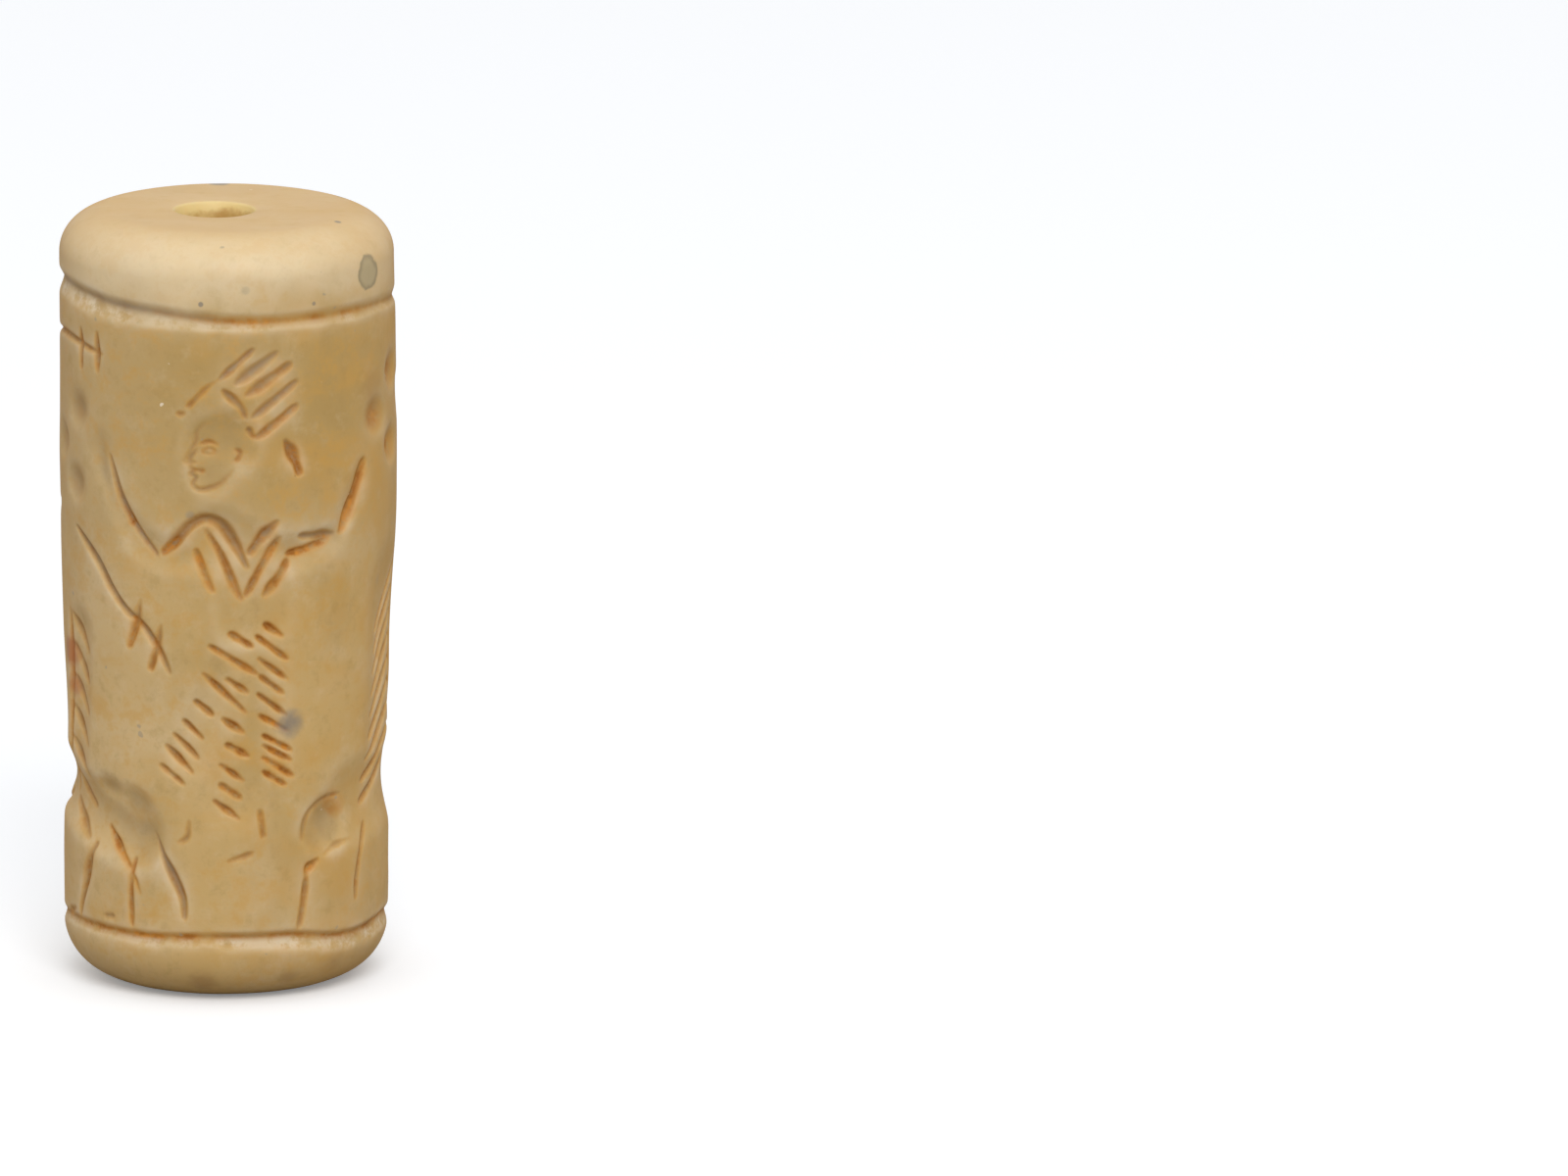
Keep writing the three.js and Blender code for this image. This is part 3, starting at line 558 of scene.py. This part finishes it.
# %% The strip as a mesh that carries its maps
place = heights / PITCH
below = np.clip(place.astype(int), 0, ROWS - 2)
part = (place - below).clip(0, 1)[:, None]
on_side = (zones < 3)[:, None]
strip = bpy.data.meshes.new("seal_strip")
row, column = np.indices((len(zones), COLUMNS))
number = row * COLUMNS + column
beside = np.roll(number, -1, axis=1)
corners = np.stack([number, beside, np.roll(beside, -1, axis=0), np.roll(number, -1, axis=0)], axis=-1)
flat = np.stack([column * PITCH, row * PITCH, 0 * row], axis=-1).reshape(-1, 3)
strip.from_pydata(flat.tolist(), [], corners.reshape(-1, 4).tolist(), shade_flat=False)
fields = {name: np.where(on_side, values[below] * (1 - part) + values[below + 1] * part, 0)
          for name, values in maps.items()}
fields["turn"] = column * (2 * math.pi / COLUMNS)
fields["zone"] = zones[row]
for name, values in fields.items():
    strip.attributes.new(name, "FLOAT", "POINT").data.foreach_set("value", values.ravel().astype(np.float32))


def placed(name, data):
    """An object that shows the data in the scene."""
    thing = bpy.data.objects.new(name, data)
    bpy.context.collection.objects.link(thing)
    return thing


stone = placed("seal_strip", strip)
print("strip has", len(strip.polygons), "four-sided faces")


# %% [markdown]
# Formulas are long as loose nodes, wired by hand, and short as text. The class below lets a formula be
# written with plus and times, and puts down one Math node for each step. It serves the stone's shape
# here and its stains further on.


# %% Formulas that turn into Math nodes
class Field:
    """A number that changes over the surface."""

    def __init__(self, tree, socket):
        self.tree, self.socket = tree, socket

    def feed(self, node, *values):
        for entry, value in zip(node.inputs, values):
            if isinstance(value, Field):
                self.tree.links.new(value.socket, entry)
            else:
                entry.default_value = value
        return Field(self.tree, node.outputs[0])

    def math(self, operation, *others, clamp=False):
        node = self.tree.nodes.new("ShaderNodeMath")
        node.operation, node.use_clamp = operation, clamp
        return self.feed(node, self, *others)

    __add__ = __radd__ = partialmethod(math, "ADD")
    __sub__ = partialmethod(math, "SUBTRACT")
    __mul__ = __rmul__ = partialmethod(math, "MULTIPLY")
    over = partialmethod(math, "DIVIDE")
    clamped = partialmethod(math, "ADD", 0, clamp=True)

    def __rsub__(self, other):
        return self * -1 + other

    def eased(self, start=0.0, end=1.0):
        """Rises smoothly from 0 at start to 1 at end."""
        node = self.tree.nodes.new("ShaderNodeMapRange")
        node.interpolation_type = "SMOOTHSTEP"
        return self.feed(node, self, start, end)


print("made:", Field.__doc__)


# %% A tree that takes the sizes of the stone
STONE_INPUTS = {"Height": HEIGHT, "Foot Radius": FOOT_RADIUS, "Belly Radius": BELLY_RADIUS,
                "Shoulder Radius": SHOULDER_RADIUS, "Swell From": SWELL_FROM, "Swell To": SWELL_TO,
                "Foot Edge Rise": FOOT_EDGE_RISE, "Foot Edge Reach": FOOT_EDGE_REACH,
                "Top Edge Rise": TOP_EDGE_RISE, "Top Edge Reach": TOP_EDGE_REACH,
                "Bore Radius": BORE_RADIUS, "Bore Offset": BORE_OFFSET, "Mouth Wear": MOUTH_WEAR,
                "Cut Scale": 1.0, "Hand Unevenness": 0.08, "End Slope": END_SLOPE,
                "Foot Shift": FOOT_SHIFT}
roll = bpy.data.node_groups.new("Roll the seal", "GeometryNodeTree")


def new_socket(name, kind, way="INPUT"):
    return roll.interface.new_socket(name, in_out=way, socket_type="NodeSocket" + kind)


new_socket("Geometry", "Geometry")
sockets = {name: new_socket(name, "Float") for name in STONE_INPUTS}
skin = new_socket("Material", "Material")
new_socket("Geometry", "Geometry", way="OUTPUT")
entry = roll.nodes.new("NodeGroupInput")
size = {name: Field(roll, entry.outputs[name]) for name in STONE_INPUTS}


def carried(name):
    node = roll.nodes.new("GeometryNodeInputNamedAttribute")
    node.data_type = "FLOAT"
    node.inputs["Name"].default_value = name
    return Field(roll, node.outputs["Attribute"])


print(len(STONE_INPUTS), "sizes go into the tree")

# %% The outline as a formula
turn, zone, cut_depth = carried("turn"), carried("zone"), carried("cut")
zone_share = [(zone - start).clamped() for start in range(6)]
quarter = math.pi / 2
foot_rise, top_rise = size["Foot Edge Rise"], size["Top Edge Rise"]
up = (foot_rise * (1 - (zone_share[0] * quarter).math("COSINE"))
      + (size["Height"] - foot_rise - top_rise) * zone_share[1]
      + top_rise * (zone_share[2] * quarter).math("SINE")
      - size["Height"] * zone_share[4])
radius = (size["Foot Radius"]
          + (size["Belly Radius"] - size["Foot Radius"]) * up.eased(size["Swell From"], size["Swell To"])
          - (size["Belly Radius"] - size["Shoulder Radius"]) * up.eased(size["Swell To"], size["Height"]))
outer = (radius - size["Foot Edge Reach"] * (1 - (zone_share[0] * quarter).math("SINE"))
         - size["Top Edge Reach"] * (1 - (zone_share[2] * quarter).math("COSINE")) * (1 - zone_share[5])
         - size["Foot Edge Reach"] * zone_share[5])
mouth_near = (1 - (size["Height"] - up).math("MINIMUM", up).over(0.9)).clamped()
inner = size["Bore Radius"] + size["Mouth Wear"] * mouth_near * mouth_near
inward = zone_share[3] - zone_share[5]
out = outer + (inner - outer) * inward
print("the outline takes", len(roll.nodes), "nodes")

# %% [markdown]
# Grinding by hand never leaves a side quite round. Dents could be sculpted, but noise covers the whole
# turn at once. It is read on a circle, so it meets itself without a seam, and it only ever takes stone
# away, as grinding does.

# %% Unevenness, cuts and the finished place of each point
def preset(node, values):
    """Fills in a node's inputs by their names."""
    for name, value in values.items():
        node.inputs[name].default_value = value


direction = [turn.math("SINE"), turn.math("COSINE")]
spot = roll.nodes.new("ShaderNodeCombineXYZ")
for axis, value in zip("XYZ", (direction[0], direction[1], up.over(9.0))):
    roll.links.new(value.socket, spot.inputs[axis])
uneven = roll.nodes.new("ShaderNodeTexNoise")
preset(uneven, {"Scale": 1.3, "Detail": 1.0})
roll.links.new(spot.outputs["Vector"], uneven.inputs["Vector"])
skin_loss = Field(roll, uneven.outputs[0])
skin_loss = skin_loss.eased(0.3, 0.7) * size["Hand Unevenness"] * (1 - inward)
carved_out = out - cut_depth * size["Cut Scale"] - skin_loss
mouth_sag = inward.math("POWER", 6.0) * (zone_share[3] - zone_share[4]) * MOUTH_SAG
finished = roll.nodes.new("ShaderNodeCombineXYZ")
outward = carved_out.over(size["Belly Radius"])
slim_part = 1 - up.eased(size["Swell From"] * 0.4, size["Swell To"])
centre_shift = size["Bore Offset"] * inward + size["Foot Shift"] * slim_part
near_top = up.over(size["Height"]).math("POWER", 8.0)
end_sag = size["End Slope"] * (direction[0] * outward + 0.2).clamped() * near_top
for axis, value in zip("XYZ", ((carved_out * direction[0] + centre_shift) * MM,
                               carved_out * direction[1] * -MM, (up - mouth_sag - end_sag) * MM)):
    roll.links.new(value.socket, finished.inputs[axis])
print("with wear and cuts it takes", len(roll.nodes))

# %% Finish the tree and set its inputs
steps = [roll.nodes.new(kind) for kind in ("GeometryNodeSetPosition", "GeometryNodeSetShadeSmooth",
                                           "GeometryNodeRealizeInstances", "GeometryNodeSetMaterial",
                                           "NodeGroupOutput")]
links = roll.links
links.new(finished.outputs["Vector"], steps[0].inputs["Position"])
links.new(entry.outputs["Material"], steps[3].inputs["Material"])
for before, after in zip([entry, *steps], steps):
    links.new(before.outputs["Geometry"], after.inputs["Geometry"])
finish = bpy.data.materials.new("Worn cream stone")
rolling = stone.modifiers.new("Roll the seal", "NODES")
rolling.node_group = roll
for name, socket in sockets.items():
    rolling[socket.identifier] = STONE_INPUTS[name]
rolling[skin.identifier] = finish
print("the finished tree has", len(roll.nodes), "nodes")

# %% [markdown]
# ## A lighter mesh
# On the smooth ground between the strokes the strip is far finer than it needs to be. A Decimate
# modifier merges faces where the surface is nearly flat and leaves them small where a cut bends it. A
# coarser strip would lose the strokes first.

# %% Thin the mesh and make it plain
MOST_TRIANGLES = 188_000
thin = stone.modifiers.new("Thin the ground", "DECIMATE")
thin.ratio = MOST_TRIANGLES / (2 * len(strip.polygons))
evaluated = stone.evaluated_get(bpy.context.evaluated_depsgraph_get())
plain = bpy.data.meshes.new_from_object(evaluated)
plain.name = "carved_seal"
seal = placed("carved_seal", plain)
bpy.data.objects.remove(stone)
plain.shade_smooth()
triangles = sum(len(face.vertices) - 2 for face in plain.polygons)
print("carved seal has", triangles, "triangles")

# %% [markdown]
# ## The stone's finish
# The stone is a cream, ivory-like limestone, polished once and worn since. Its upper end is painted
# pale cream as painted light from above, and the side is a warmer buff lower down, with cloudy patches.
# Ochre earth has settled in the strokes, the deepest cuts are painted grey-brown as shade, and their
# lips are painted paler, partly as rubbed wear and partly as a painted highlight.
#
# An image painted by hand could hold the stains, but it could slip against the cuts. So the material
# reads the maps that the mesh carries. Everything else is noise on Object coordinates, in metres, so
# that a scale of 1000 gives patches of a millimetre.

# %% Nodes for the finish
finish.use_nodes = True
shade = finish.node_tree
shader = shade.nodes["Principled BSDF"]
here = shade.nodes.new("ShaderNodeTexCoord").outputs["Object"]


def noise(scale, detail=2.0, stretch=(1, 1, 1), roughness=0.5):
    mapping = shade.nodes.new("ShaderNodeMapping")
    preset(mapping, {"Scale": stretch})
    shade.links.new(here, mapping.inputs["Vector"])
    node = shade.nodes.new("ShaderNodeTexNoise")
    preset(node, {"Scale": scale, "Detail": detail, "Roughness": roughness})
    shade.links.new(mapping.outputs["Vector"], node.inputs["Vector"])
    return Field(shade, node.outputs[0])


def mesh_map(name):
    node = shade.nodes.new("ShaderNodeAttribute")
    node.attribute_name = name
    return Field(shade, node.outputs["Fac"])


class Coats:
    """Colours laid one over another, each as strong as its own amount."""

    def __init__(self, base):
        self.colour = base

    def lay(self, colour, amount):
        node = shade.nodes.new("ShaderNodeMix")
        node.data_type = "RGBA"
        shade.links.new(amount.socket, node.inputs["Factor"])
        under, over = [entry for entry in node.inputs if entry.type == "RGBA"]
        over.default_value = (*colour, 1)
        if isinstance(self.colour, tuple):
            under.default_value = (*self.colour, 1)
        else:
            shade.links.new(self.colour, under)
        self.colour = next(output for output in node.outputs if output.type == "RGBA")


print("made:", Coats.__doc__)


# %% Ground colour
CREAM, BUFF, CHALK = (0.765, 0.605, 0.37), (0.605, 0.405, 0.158), (0.84, 0.73, 0.55)
HONEY, OLIVE = (0.6, 0.33, 0.07), (0.43, 0.275, 0.085)
position = shade.nodes.new("ShaderNodeSeparateXYZ")
shade.links.new(here, position.inputs["Vector"])
at_x, at_y, at_z = (Field(shade, position.outputs[axis]) for axis in "XYZ")
clouds = noise(170, 3)
# The upper end is painted pale cream as painted light from above, and the mottles are held back there.
painted_top_light = (at_z * 1000 + clouds * 4).eased(35, 38.5)
ground = Coats(BUFF)
ground.lay(CREAM, (painted_top_light * 0.9 + noise(95, 2).eased(0.45, 0.75) * 0.35).clamped())
ground.lay(OLIVE, (at_z * 1000 + clouds * 8).eased(20, 34) * (1 - painted_top_light) * 0.68)
ground.lay(OLIVE, noise(190, 5, stretch=(1, 1, 0.6)).eased(0.46, 0.72) * (0.6 - painted_top_light * 0.45))
# Honey towards +X is partly random patches and partly painted warm reflection and shade on the right side.
ground.lay(HONEY, (noise(330, 4) + at_x * 20).eased(0.5, 0.8) * (0.5 - painted_top_light * 0.35))
ground.lay(HONEY, (1.2 - at_z * 250).clamped() * 0.2)
# The left side is painted paler cream: painted light falling from the left.
ground.lay(CREAM, (at_x * -130 - 0.2).clamped() * 0.42)
ground.lay(HONEY, noise(210, 5, stretch=(0.3, 1, 2.2), roughness=0.65).eased(0.5, 0.72)
           * (0.5 - painted_top_light * 0.38))
ground.lay(CHALK, noise(140, 2).eased(0.5, 0.8) * 0.2)
# The flat middle of the upper end is painted a little darker, so the painted light on top is strongest at its
# rounded rim.
ground.lay(BUFF, (at_z * 1000).eased(37.9, 38.4) * 0.18)
ground.lay(CHALK, noise(760, 4, roughness=0.65).eased(0.5, 0.75) * 0.13)
mottle = noise(1000, 5, roughness=0.7)
ground.lay(OLIVE, mottle.eased(0.5, 0.72) * (0.4 - painted_top_light * 0.25))
ground.lay(HONEY, (mottle * -1 + noise(260, 2) * 0.5).eased(-0.26, -0.04) * (0.5 - painted_top_light * 0.35))
# Honey where the surface turns away from the camera is painted shade: the stone's outline, as seen, is
# painted darker and warmer.
facing = shade.nodes.new("ShaderNodeLayerWeight")
preset(facing, {"Blend": 0.35})
ground.lay(HONEY, (Field(shade, facing.outputs["Facing"]).math("POWER", 1.6) * 1.1).clamped() * 0.85)
print("ground colours take", len(shade.nodes), "nodes")

# %% [markdown]
# Earth stays where nothing rubs: ochre and rust along the strokes. The valleys are darkened by painted
# shade mixed with dirt, the deepest cuts are painted grey-brown as shade, and under the border grooves
# lies a chalky crust, partly a painted highlight on the lit lower wall. Even amounts would look printed,
# so noise breaks them up.

# %% Stains and painted shade in the cuts, paler lips and specks
OCHRE, RUST = (0.6, 0.235, 0.02), (0.33, 0.115, 0.01)
ASH, SHADE_AND_DIRT = (0.37, 0.3, 0.215), (0.19, 0.105, 0.035)
DARK_SPECKS, PALE_SPECKS = (0.775, 0.81), (0.165, 0.185)
valley, lip = mesh_map("valley"), mesh_map("lip")
break_up = noise(2300, 3, roughness=0.65).eased(0.35, 0.6)
painted_shade_amount = (mesh_map("grey") * (valley * 0.5 + 0.5) * noise(420, 2).eased(0.15, 0.65)).clamped()
ochre_map = mesh_map("ochre")
ochre_amount = (ochre_map * (valley * 0.7 + 0.3) * (break_up * 0.75 + 0.25) * 1.5).clamped()
ground.lay(HONEY, ochre_map.eased(0.02, 0.3) * 0.45)
# Valleys are darkened with painted shade, mixed with some dirt.
ground.lay(SHADE_AND_DIRT, (valley * (noise(800, 3).eased(0.2, 0.7) * 0.5 + 0.25)).clamped() * 0.85)
# ASH here is painted shade in the deepest cuts and hollows.
ground.lay(ASH, painted_shade_amount * 0.8)
ground.lay(OCHRE, ochre_amount * 0.9)
ground.lay(RUST, (ochre_amount * (valley * 0.7 + 0.3) * noise(1300, 2).eased(0.38, 0.56)).clamped() * 0.9)
# Lips are painted paler: partly rubbed wear, partly a painted highlight.
ground.lay(CHALK, lip * noise(600, 2).eased(0.25, 0.7) * 0.3)
crumbs = noise(1900, 3, roughness=0.7)
# The chalk under the border grooves is partly crust and partly a painted highlight.
ground.lay(CHALK, (mesh_map("chalk_and_highlight") * (crumbs + noise(330, 2)).eased(0.8, 1.15)).clamped() * 0.85)
specks = noise(1250, 1)
ground.lay(ASH, specks.eased(*DARK_SPECKS) * 0.6)
ground.lay(CHALK, (1 - specks.eased(*PALE_SPECKS)) * 0.8)
print("with stains and specks they take", len(shade.nodes))

# %% [markdown]
# Oil and earth have gone into the walls of the string hole, pale yellow at its mouth and golden brown
# just below. A second material there would leave a hard edge, so the same one finds the hole by the
# distance from its axis.

# %% The stained string hole
BORE_YELLOW, BORE_BROWN = (0.8, 0.62, 0.25), (0.5, 0.27, 0.06)
from_axis = ((at_x * 1000 - BORE_OFFSET).math("POWER", 2) + (at_y * 1000).math("POWER", 2)).math("SQRT")
in_bore = 1 - from_axis.eased(BORE_RADIUS + MOUTH_WEAR * 0.4, BORE_RADIUS + MOUTH_WEAR + 0.15)
ground.lay(BORE_YELLOW, in_bore * 0.85)
from_end = HEIGHT / 2 - (at_z * 1000 - HEIGHT / 2).math("ABSOLUTE")
bore_dirt = (from_end.eased(0.1, 0.75) * 0.6 + noise(620, 4, roughness=0.65) * 1.6 + at_x * 60
             - 0.82).eased(0.1, 0.65)
ground.lay(BORE_BROWN, bore_dirt * in_bore * (1 - from_end.eased(2, 5) * 0.6) * 0.8)
print("string hole stained up to", BORE_RADIUS + MOUTH_WEAR, "mm from its axis")

# %% [markdown]
# A few grey blots lie in the stone, and reddish and tan smudges cling to its skin. Each could be a
# decal with its own picture. A ball of stain is simpler: it takes a place on the surface, a radius, a
# strength, how softly it fades and a colour. The crispest blot has a rim darker than its middle.

# %% Places and colours of the blots
BLOT, RIM, SLATE = (0.42, 0.345, 0.195), (0.2, 0.145, 0.08), (0.25, 0.21, 0.165)
REDDISH, TAN = (0.45, 0.16, 0.05), (0.4, 0.22, 0.07)
BLOTS = [((8.2, 36), 0.74, 0.75, 0.95, BLOT), ((3.1, 14.1), 0.85, 0.9, 1.7, SLATE),
         ((-25.3, 38.395), 0.5, 0.8, 1.4, SLATE), ((8.5, 38.36), 0.2, 0.8, 1.4, SLATE),
         ((17.2, 38.3), 0.3, 0.6, 1.4, ASH), ((-1.3, 35.2), 0.13, 0.8, 1.4, SLATE),
         ((0.9, 35.9), 0.24, 0.3, 1.4, ASH), ((4.4, 35), 0.11, 0.7, 1.4, SLATE),
         ((-1.9, 24.7), 0.26, 0.5, 1.6, ASH), ((9.6, 20.3), 0.45, 0.5, 1.6, ASH),
         ((-5.9, 9), 0.12, 0.9, 1.4, ASH), ((5.8, 9.3), 0.4, 0.35, 1.6, ASH),
         ((-10.7, 16.6), 1, 0.85, 1.7, REDDISH), ((-10.4, 15), 0.8, 0.75, 1.7, REDDISH),
         ((8.4, 30.3), 1.1, 0.35, 1.8, TAN), ((-1.6, 0.9), 0.9, 0.6, 1.7, TAN),
         ((3.2, 1), 0.7, 0.5, 1.7, TAN), ((6, 1.6), 1, 0.35, 1.8, TAN)]
print(len(BLOTS), "blots and smudges")

# %% Each blot as a ball of stain
frayed = noise(1800, 2) * 0.6
for (across, height), reach, strength, fade, stain in BLOTS:
    angle = across / TURN * 2 * math.pi
    risen = max(0, (height - HEIGHT + TOP_EDGE_RISE) / TOP_EDGE_RISE)
    fallen = max(0, 1 - height / FOOT_EDGE_RISE)
    stand = (SHOULDER_RADIUS - TOP_EDGE_REACH * (1 - math.sqrt(1 - risen**2))
             - FOOT_EDGE_REACH * (1 - math.sqrt(1 - fallen**2))) * MM
    blot = shade.nodes.new("ShaderNodeVectorMath")
    blot.operation = "DISTANCE"
    shade.links.new(here, blot.inputs[0])
    blot.inputs[1].default_value = (math.sin(angle) * stand, -math.cos(angle) * stand, height * MM)
    away = Field(shade, blot.outputs["Value"]) * (1000 / reach) + frayed
    ground.lay(stain, (1 - away.eased(1.5 - (fade - 0.8), 1.5)) * strength)
    if fade < 1:
        ground.lay(RIM, away.eased(1, 1.35) * (1 - away.eased(1.35, 1.6)) * 0.42)
shade.links.new(ground.colour, shader.inputs["Base Color"])
print("with the blots they take", len(shade.nodes))

# %% [markdown]
# The old polish is a soft sheen, duller in the valleys. Light enters such a stone a little and comes out
# warmer, so the shader scatters some of it below the surface. The grain is too fine to model, so a bump
# of less than a tenth of a millimetre stands for it.

# %% Polish and fine grain
sheen_map = noise(500, 3.0).eased(0.3, 0.7) * 0.12 + valley * 0.25 + 0.42
shade.links.new(sheen_map.socket, shader.inputs["Roughness"])
preset(shader, {"Specular IOR Level": 0.36, "Subsurface Weight": 0.3,
                "Subsurface Radius": (1.0, 0.7, 0.4), "Subsurface Scale": 0.8 * MM})
grain = noise(2600, 3.0) * 0.25 + noise(900, 2.0) * 0.35 + noise(330, 2.0) * 1.2
bump = shade.nodes.new("ShaderNodeBump")
preset(bump, {"Strength": 0.35, "Distance": 0.06 * MM})
shade.links.new(grain.socket, bump.inputs["Height"])
shade.links.new(bump.outputs["Normal"], shader.inputs["Normal"])
print("finish takes", len(shade.nodes), "nodes")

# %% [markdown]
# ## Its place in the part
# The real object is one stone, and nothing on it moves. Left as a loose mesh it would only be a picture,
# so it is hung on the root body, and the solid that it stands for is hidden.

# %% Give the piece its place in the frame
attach(seal, "root")
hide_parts("cylinder_seal")
print(seal.name, "has its place")

# %% [markdown]
# ## Floor, light and camera
# Small objects are photographed on a white sweep under a large soft light from above, and only a soft
# shadow shows where they stand. More lamps could fill the dark side, but a bright room does it without
# a second shadow. The camera is far away with a long lens, about 12 degrees above the level, so the
# upper end shows as a flat oval.

# %% Floor
floor_mesh = bpy.data.meshes.new("studio_floor")
floor_mesh.from_pydata([(-3, -3, 0), (3, -3, 0), (3, 3, 0), (-3, 3, 0)], [], [(0, 1, 2, 3)])
floor = placed("studio_floor", floor_mesh)
white = bpy.data.materials.new("White sweep")
white.use_nodes = True
floor_tree = white.node_tree
floor_shader = floor_tree.nodes["Principled BSDF"]
preset(floor_shader, {"Base Color": (0.915, 0.935, 0.965, 1), "Roughness": 0.9,
                      "Emission Color": (1, 1, 1, 1), "Emission Strength": 0.2})
bounce = floor_tree.nodes.new("ShaderNodeBsdfDiffuse")
preset(bounce, {"Color": (0.38, 0.38, 0.38, 1)})


def split_rays(tree, lighting, seen, output):
    """Shows one shader to the camera and lights the scene with the other."""
    rays = tree.nodes.new("ShaderNodeLightPath")
    either = tree.nodes.new("ShaderNodeMixShader")
    tree.links.new(rays.outputs["Is Camera Ray"], either.inputs["Fac"])
    tree.links.new(lighting.outputs[0], either.inputs[1])
    tree.links.new(seen.outputs[0], either.inputs[2])
    tree.links.new(either.outputs[0], tree.nodes[output].inputs["Surface"])


split_rays(floor_tree, bounce, floor_shader, "Material Output")
floor_mesh.materials.append(white)
print("floor", floor.dimensions.x, "m wide")

# %% Soft light
ROOM_GLOW = 0.74
world = bpy.data.worlds.new("Studio")
bpy.context.scene.world = world
world.use_nodes = True
sky = world.node_tree
backdrop = sky.nodes["Background"]
room = sky.nodes.new("ShaderNodeBackground")
preset(backdrop, {"Color": (1, 1, 1, 1)})
preset(room, {"Color": (1, 1, 1, 1), "Strength": ROOM_GLOW})
split_rays(sky, room, backdrop, "World Output")


def aimed(thing, place, target):
    """Puts a thing in its place and turns it to its target."""
    thing.location = place
    thing.rotation_euler = (Vector(target) - Vector(place)).to_track_quat("-Z", "Y").to_euler()


key = bpy.data.lights.new("Key box", "AREA")
key.shape, key.size, key.energy = "DISK", 0.24, 0.81
aimed(placed("Key box", key), (0.04, -0.325, 0.295), (0, 0, 0.02))
print(f"soft box {key.size:.2f} m across; room glow {ROOM_GLOW}")

# %% Camera
ELEVATION = math.radians(12.5)
DISTANCE = 0.9
PIXEL = 0.0485 * MM
PICTURE_WIDTH, PICTURE_HEIGHT = 1600, 1200
SEAL_ACROSS, BASE_DOWN = 234, 984.3
lens = bpy.data.cameras.new("Long lens")
camera = placed("Long lens", lens)
lens.sensor_width = 36.0
lens.lens = lens.sensor_width * DISTANCE / (PICTURE_WIDTH * PIXEL)
lens.clip_start, lens.clip_end = 0.05, 20
look = Vector((0, math.cos(ELEVATION), -math.sin(ELEVATION)))
above = Vector((0, math.sin(ELEVATION), math.cos(ELEVATION)))
lift = above * ((BASE_DOWN - PICTURE_HEIGHT / 2) * PIXEL)
aimed(camera, lift - look * DISTANCE, lift + Vector((PICTURE_WIDTH / 2 - SEAL_ACROSS, 0, 0)) * PIXEL)
bpy.context.scene.camera = camera
bpy.context.scene.view_settings.view_transform = "Standard"
print("lens", round(lens.lens), "mm at", DISTANCE, "m")

# %% [markdown]
# ## Size against the solid
# The dressed stone has to fill the same room as the solid one.
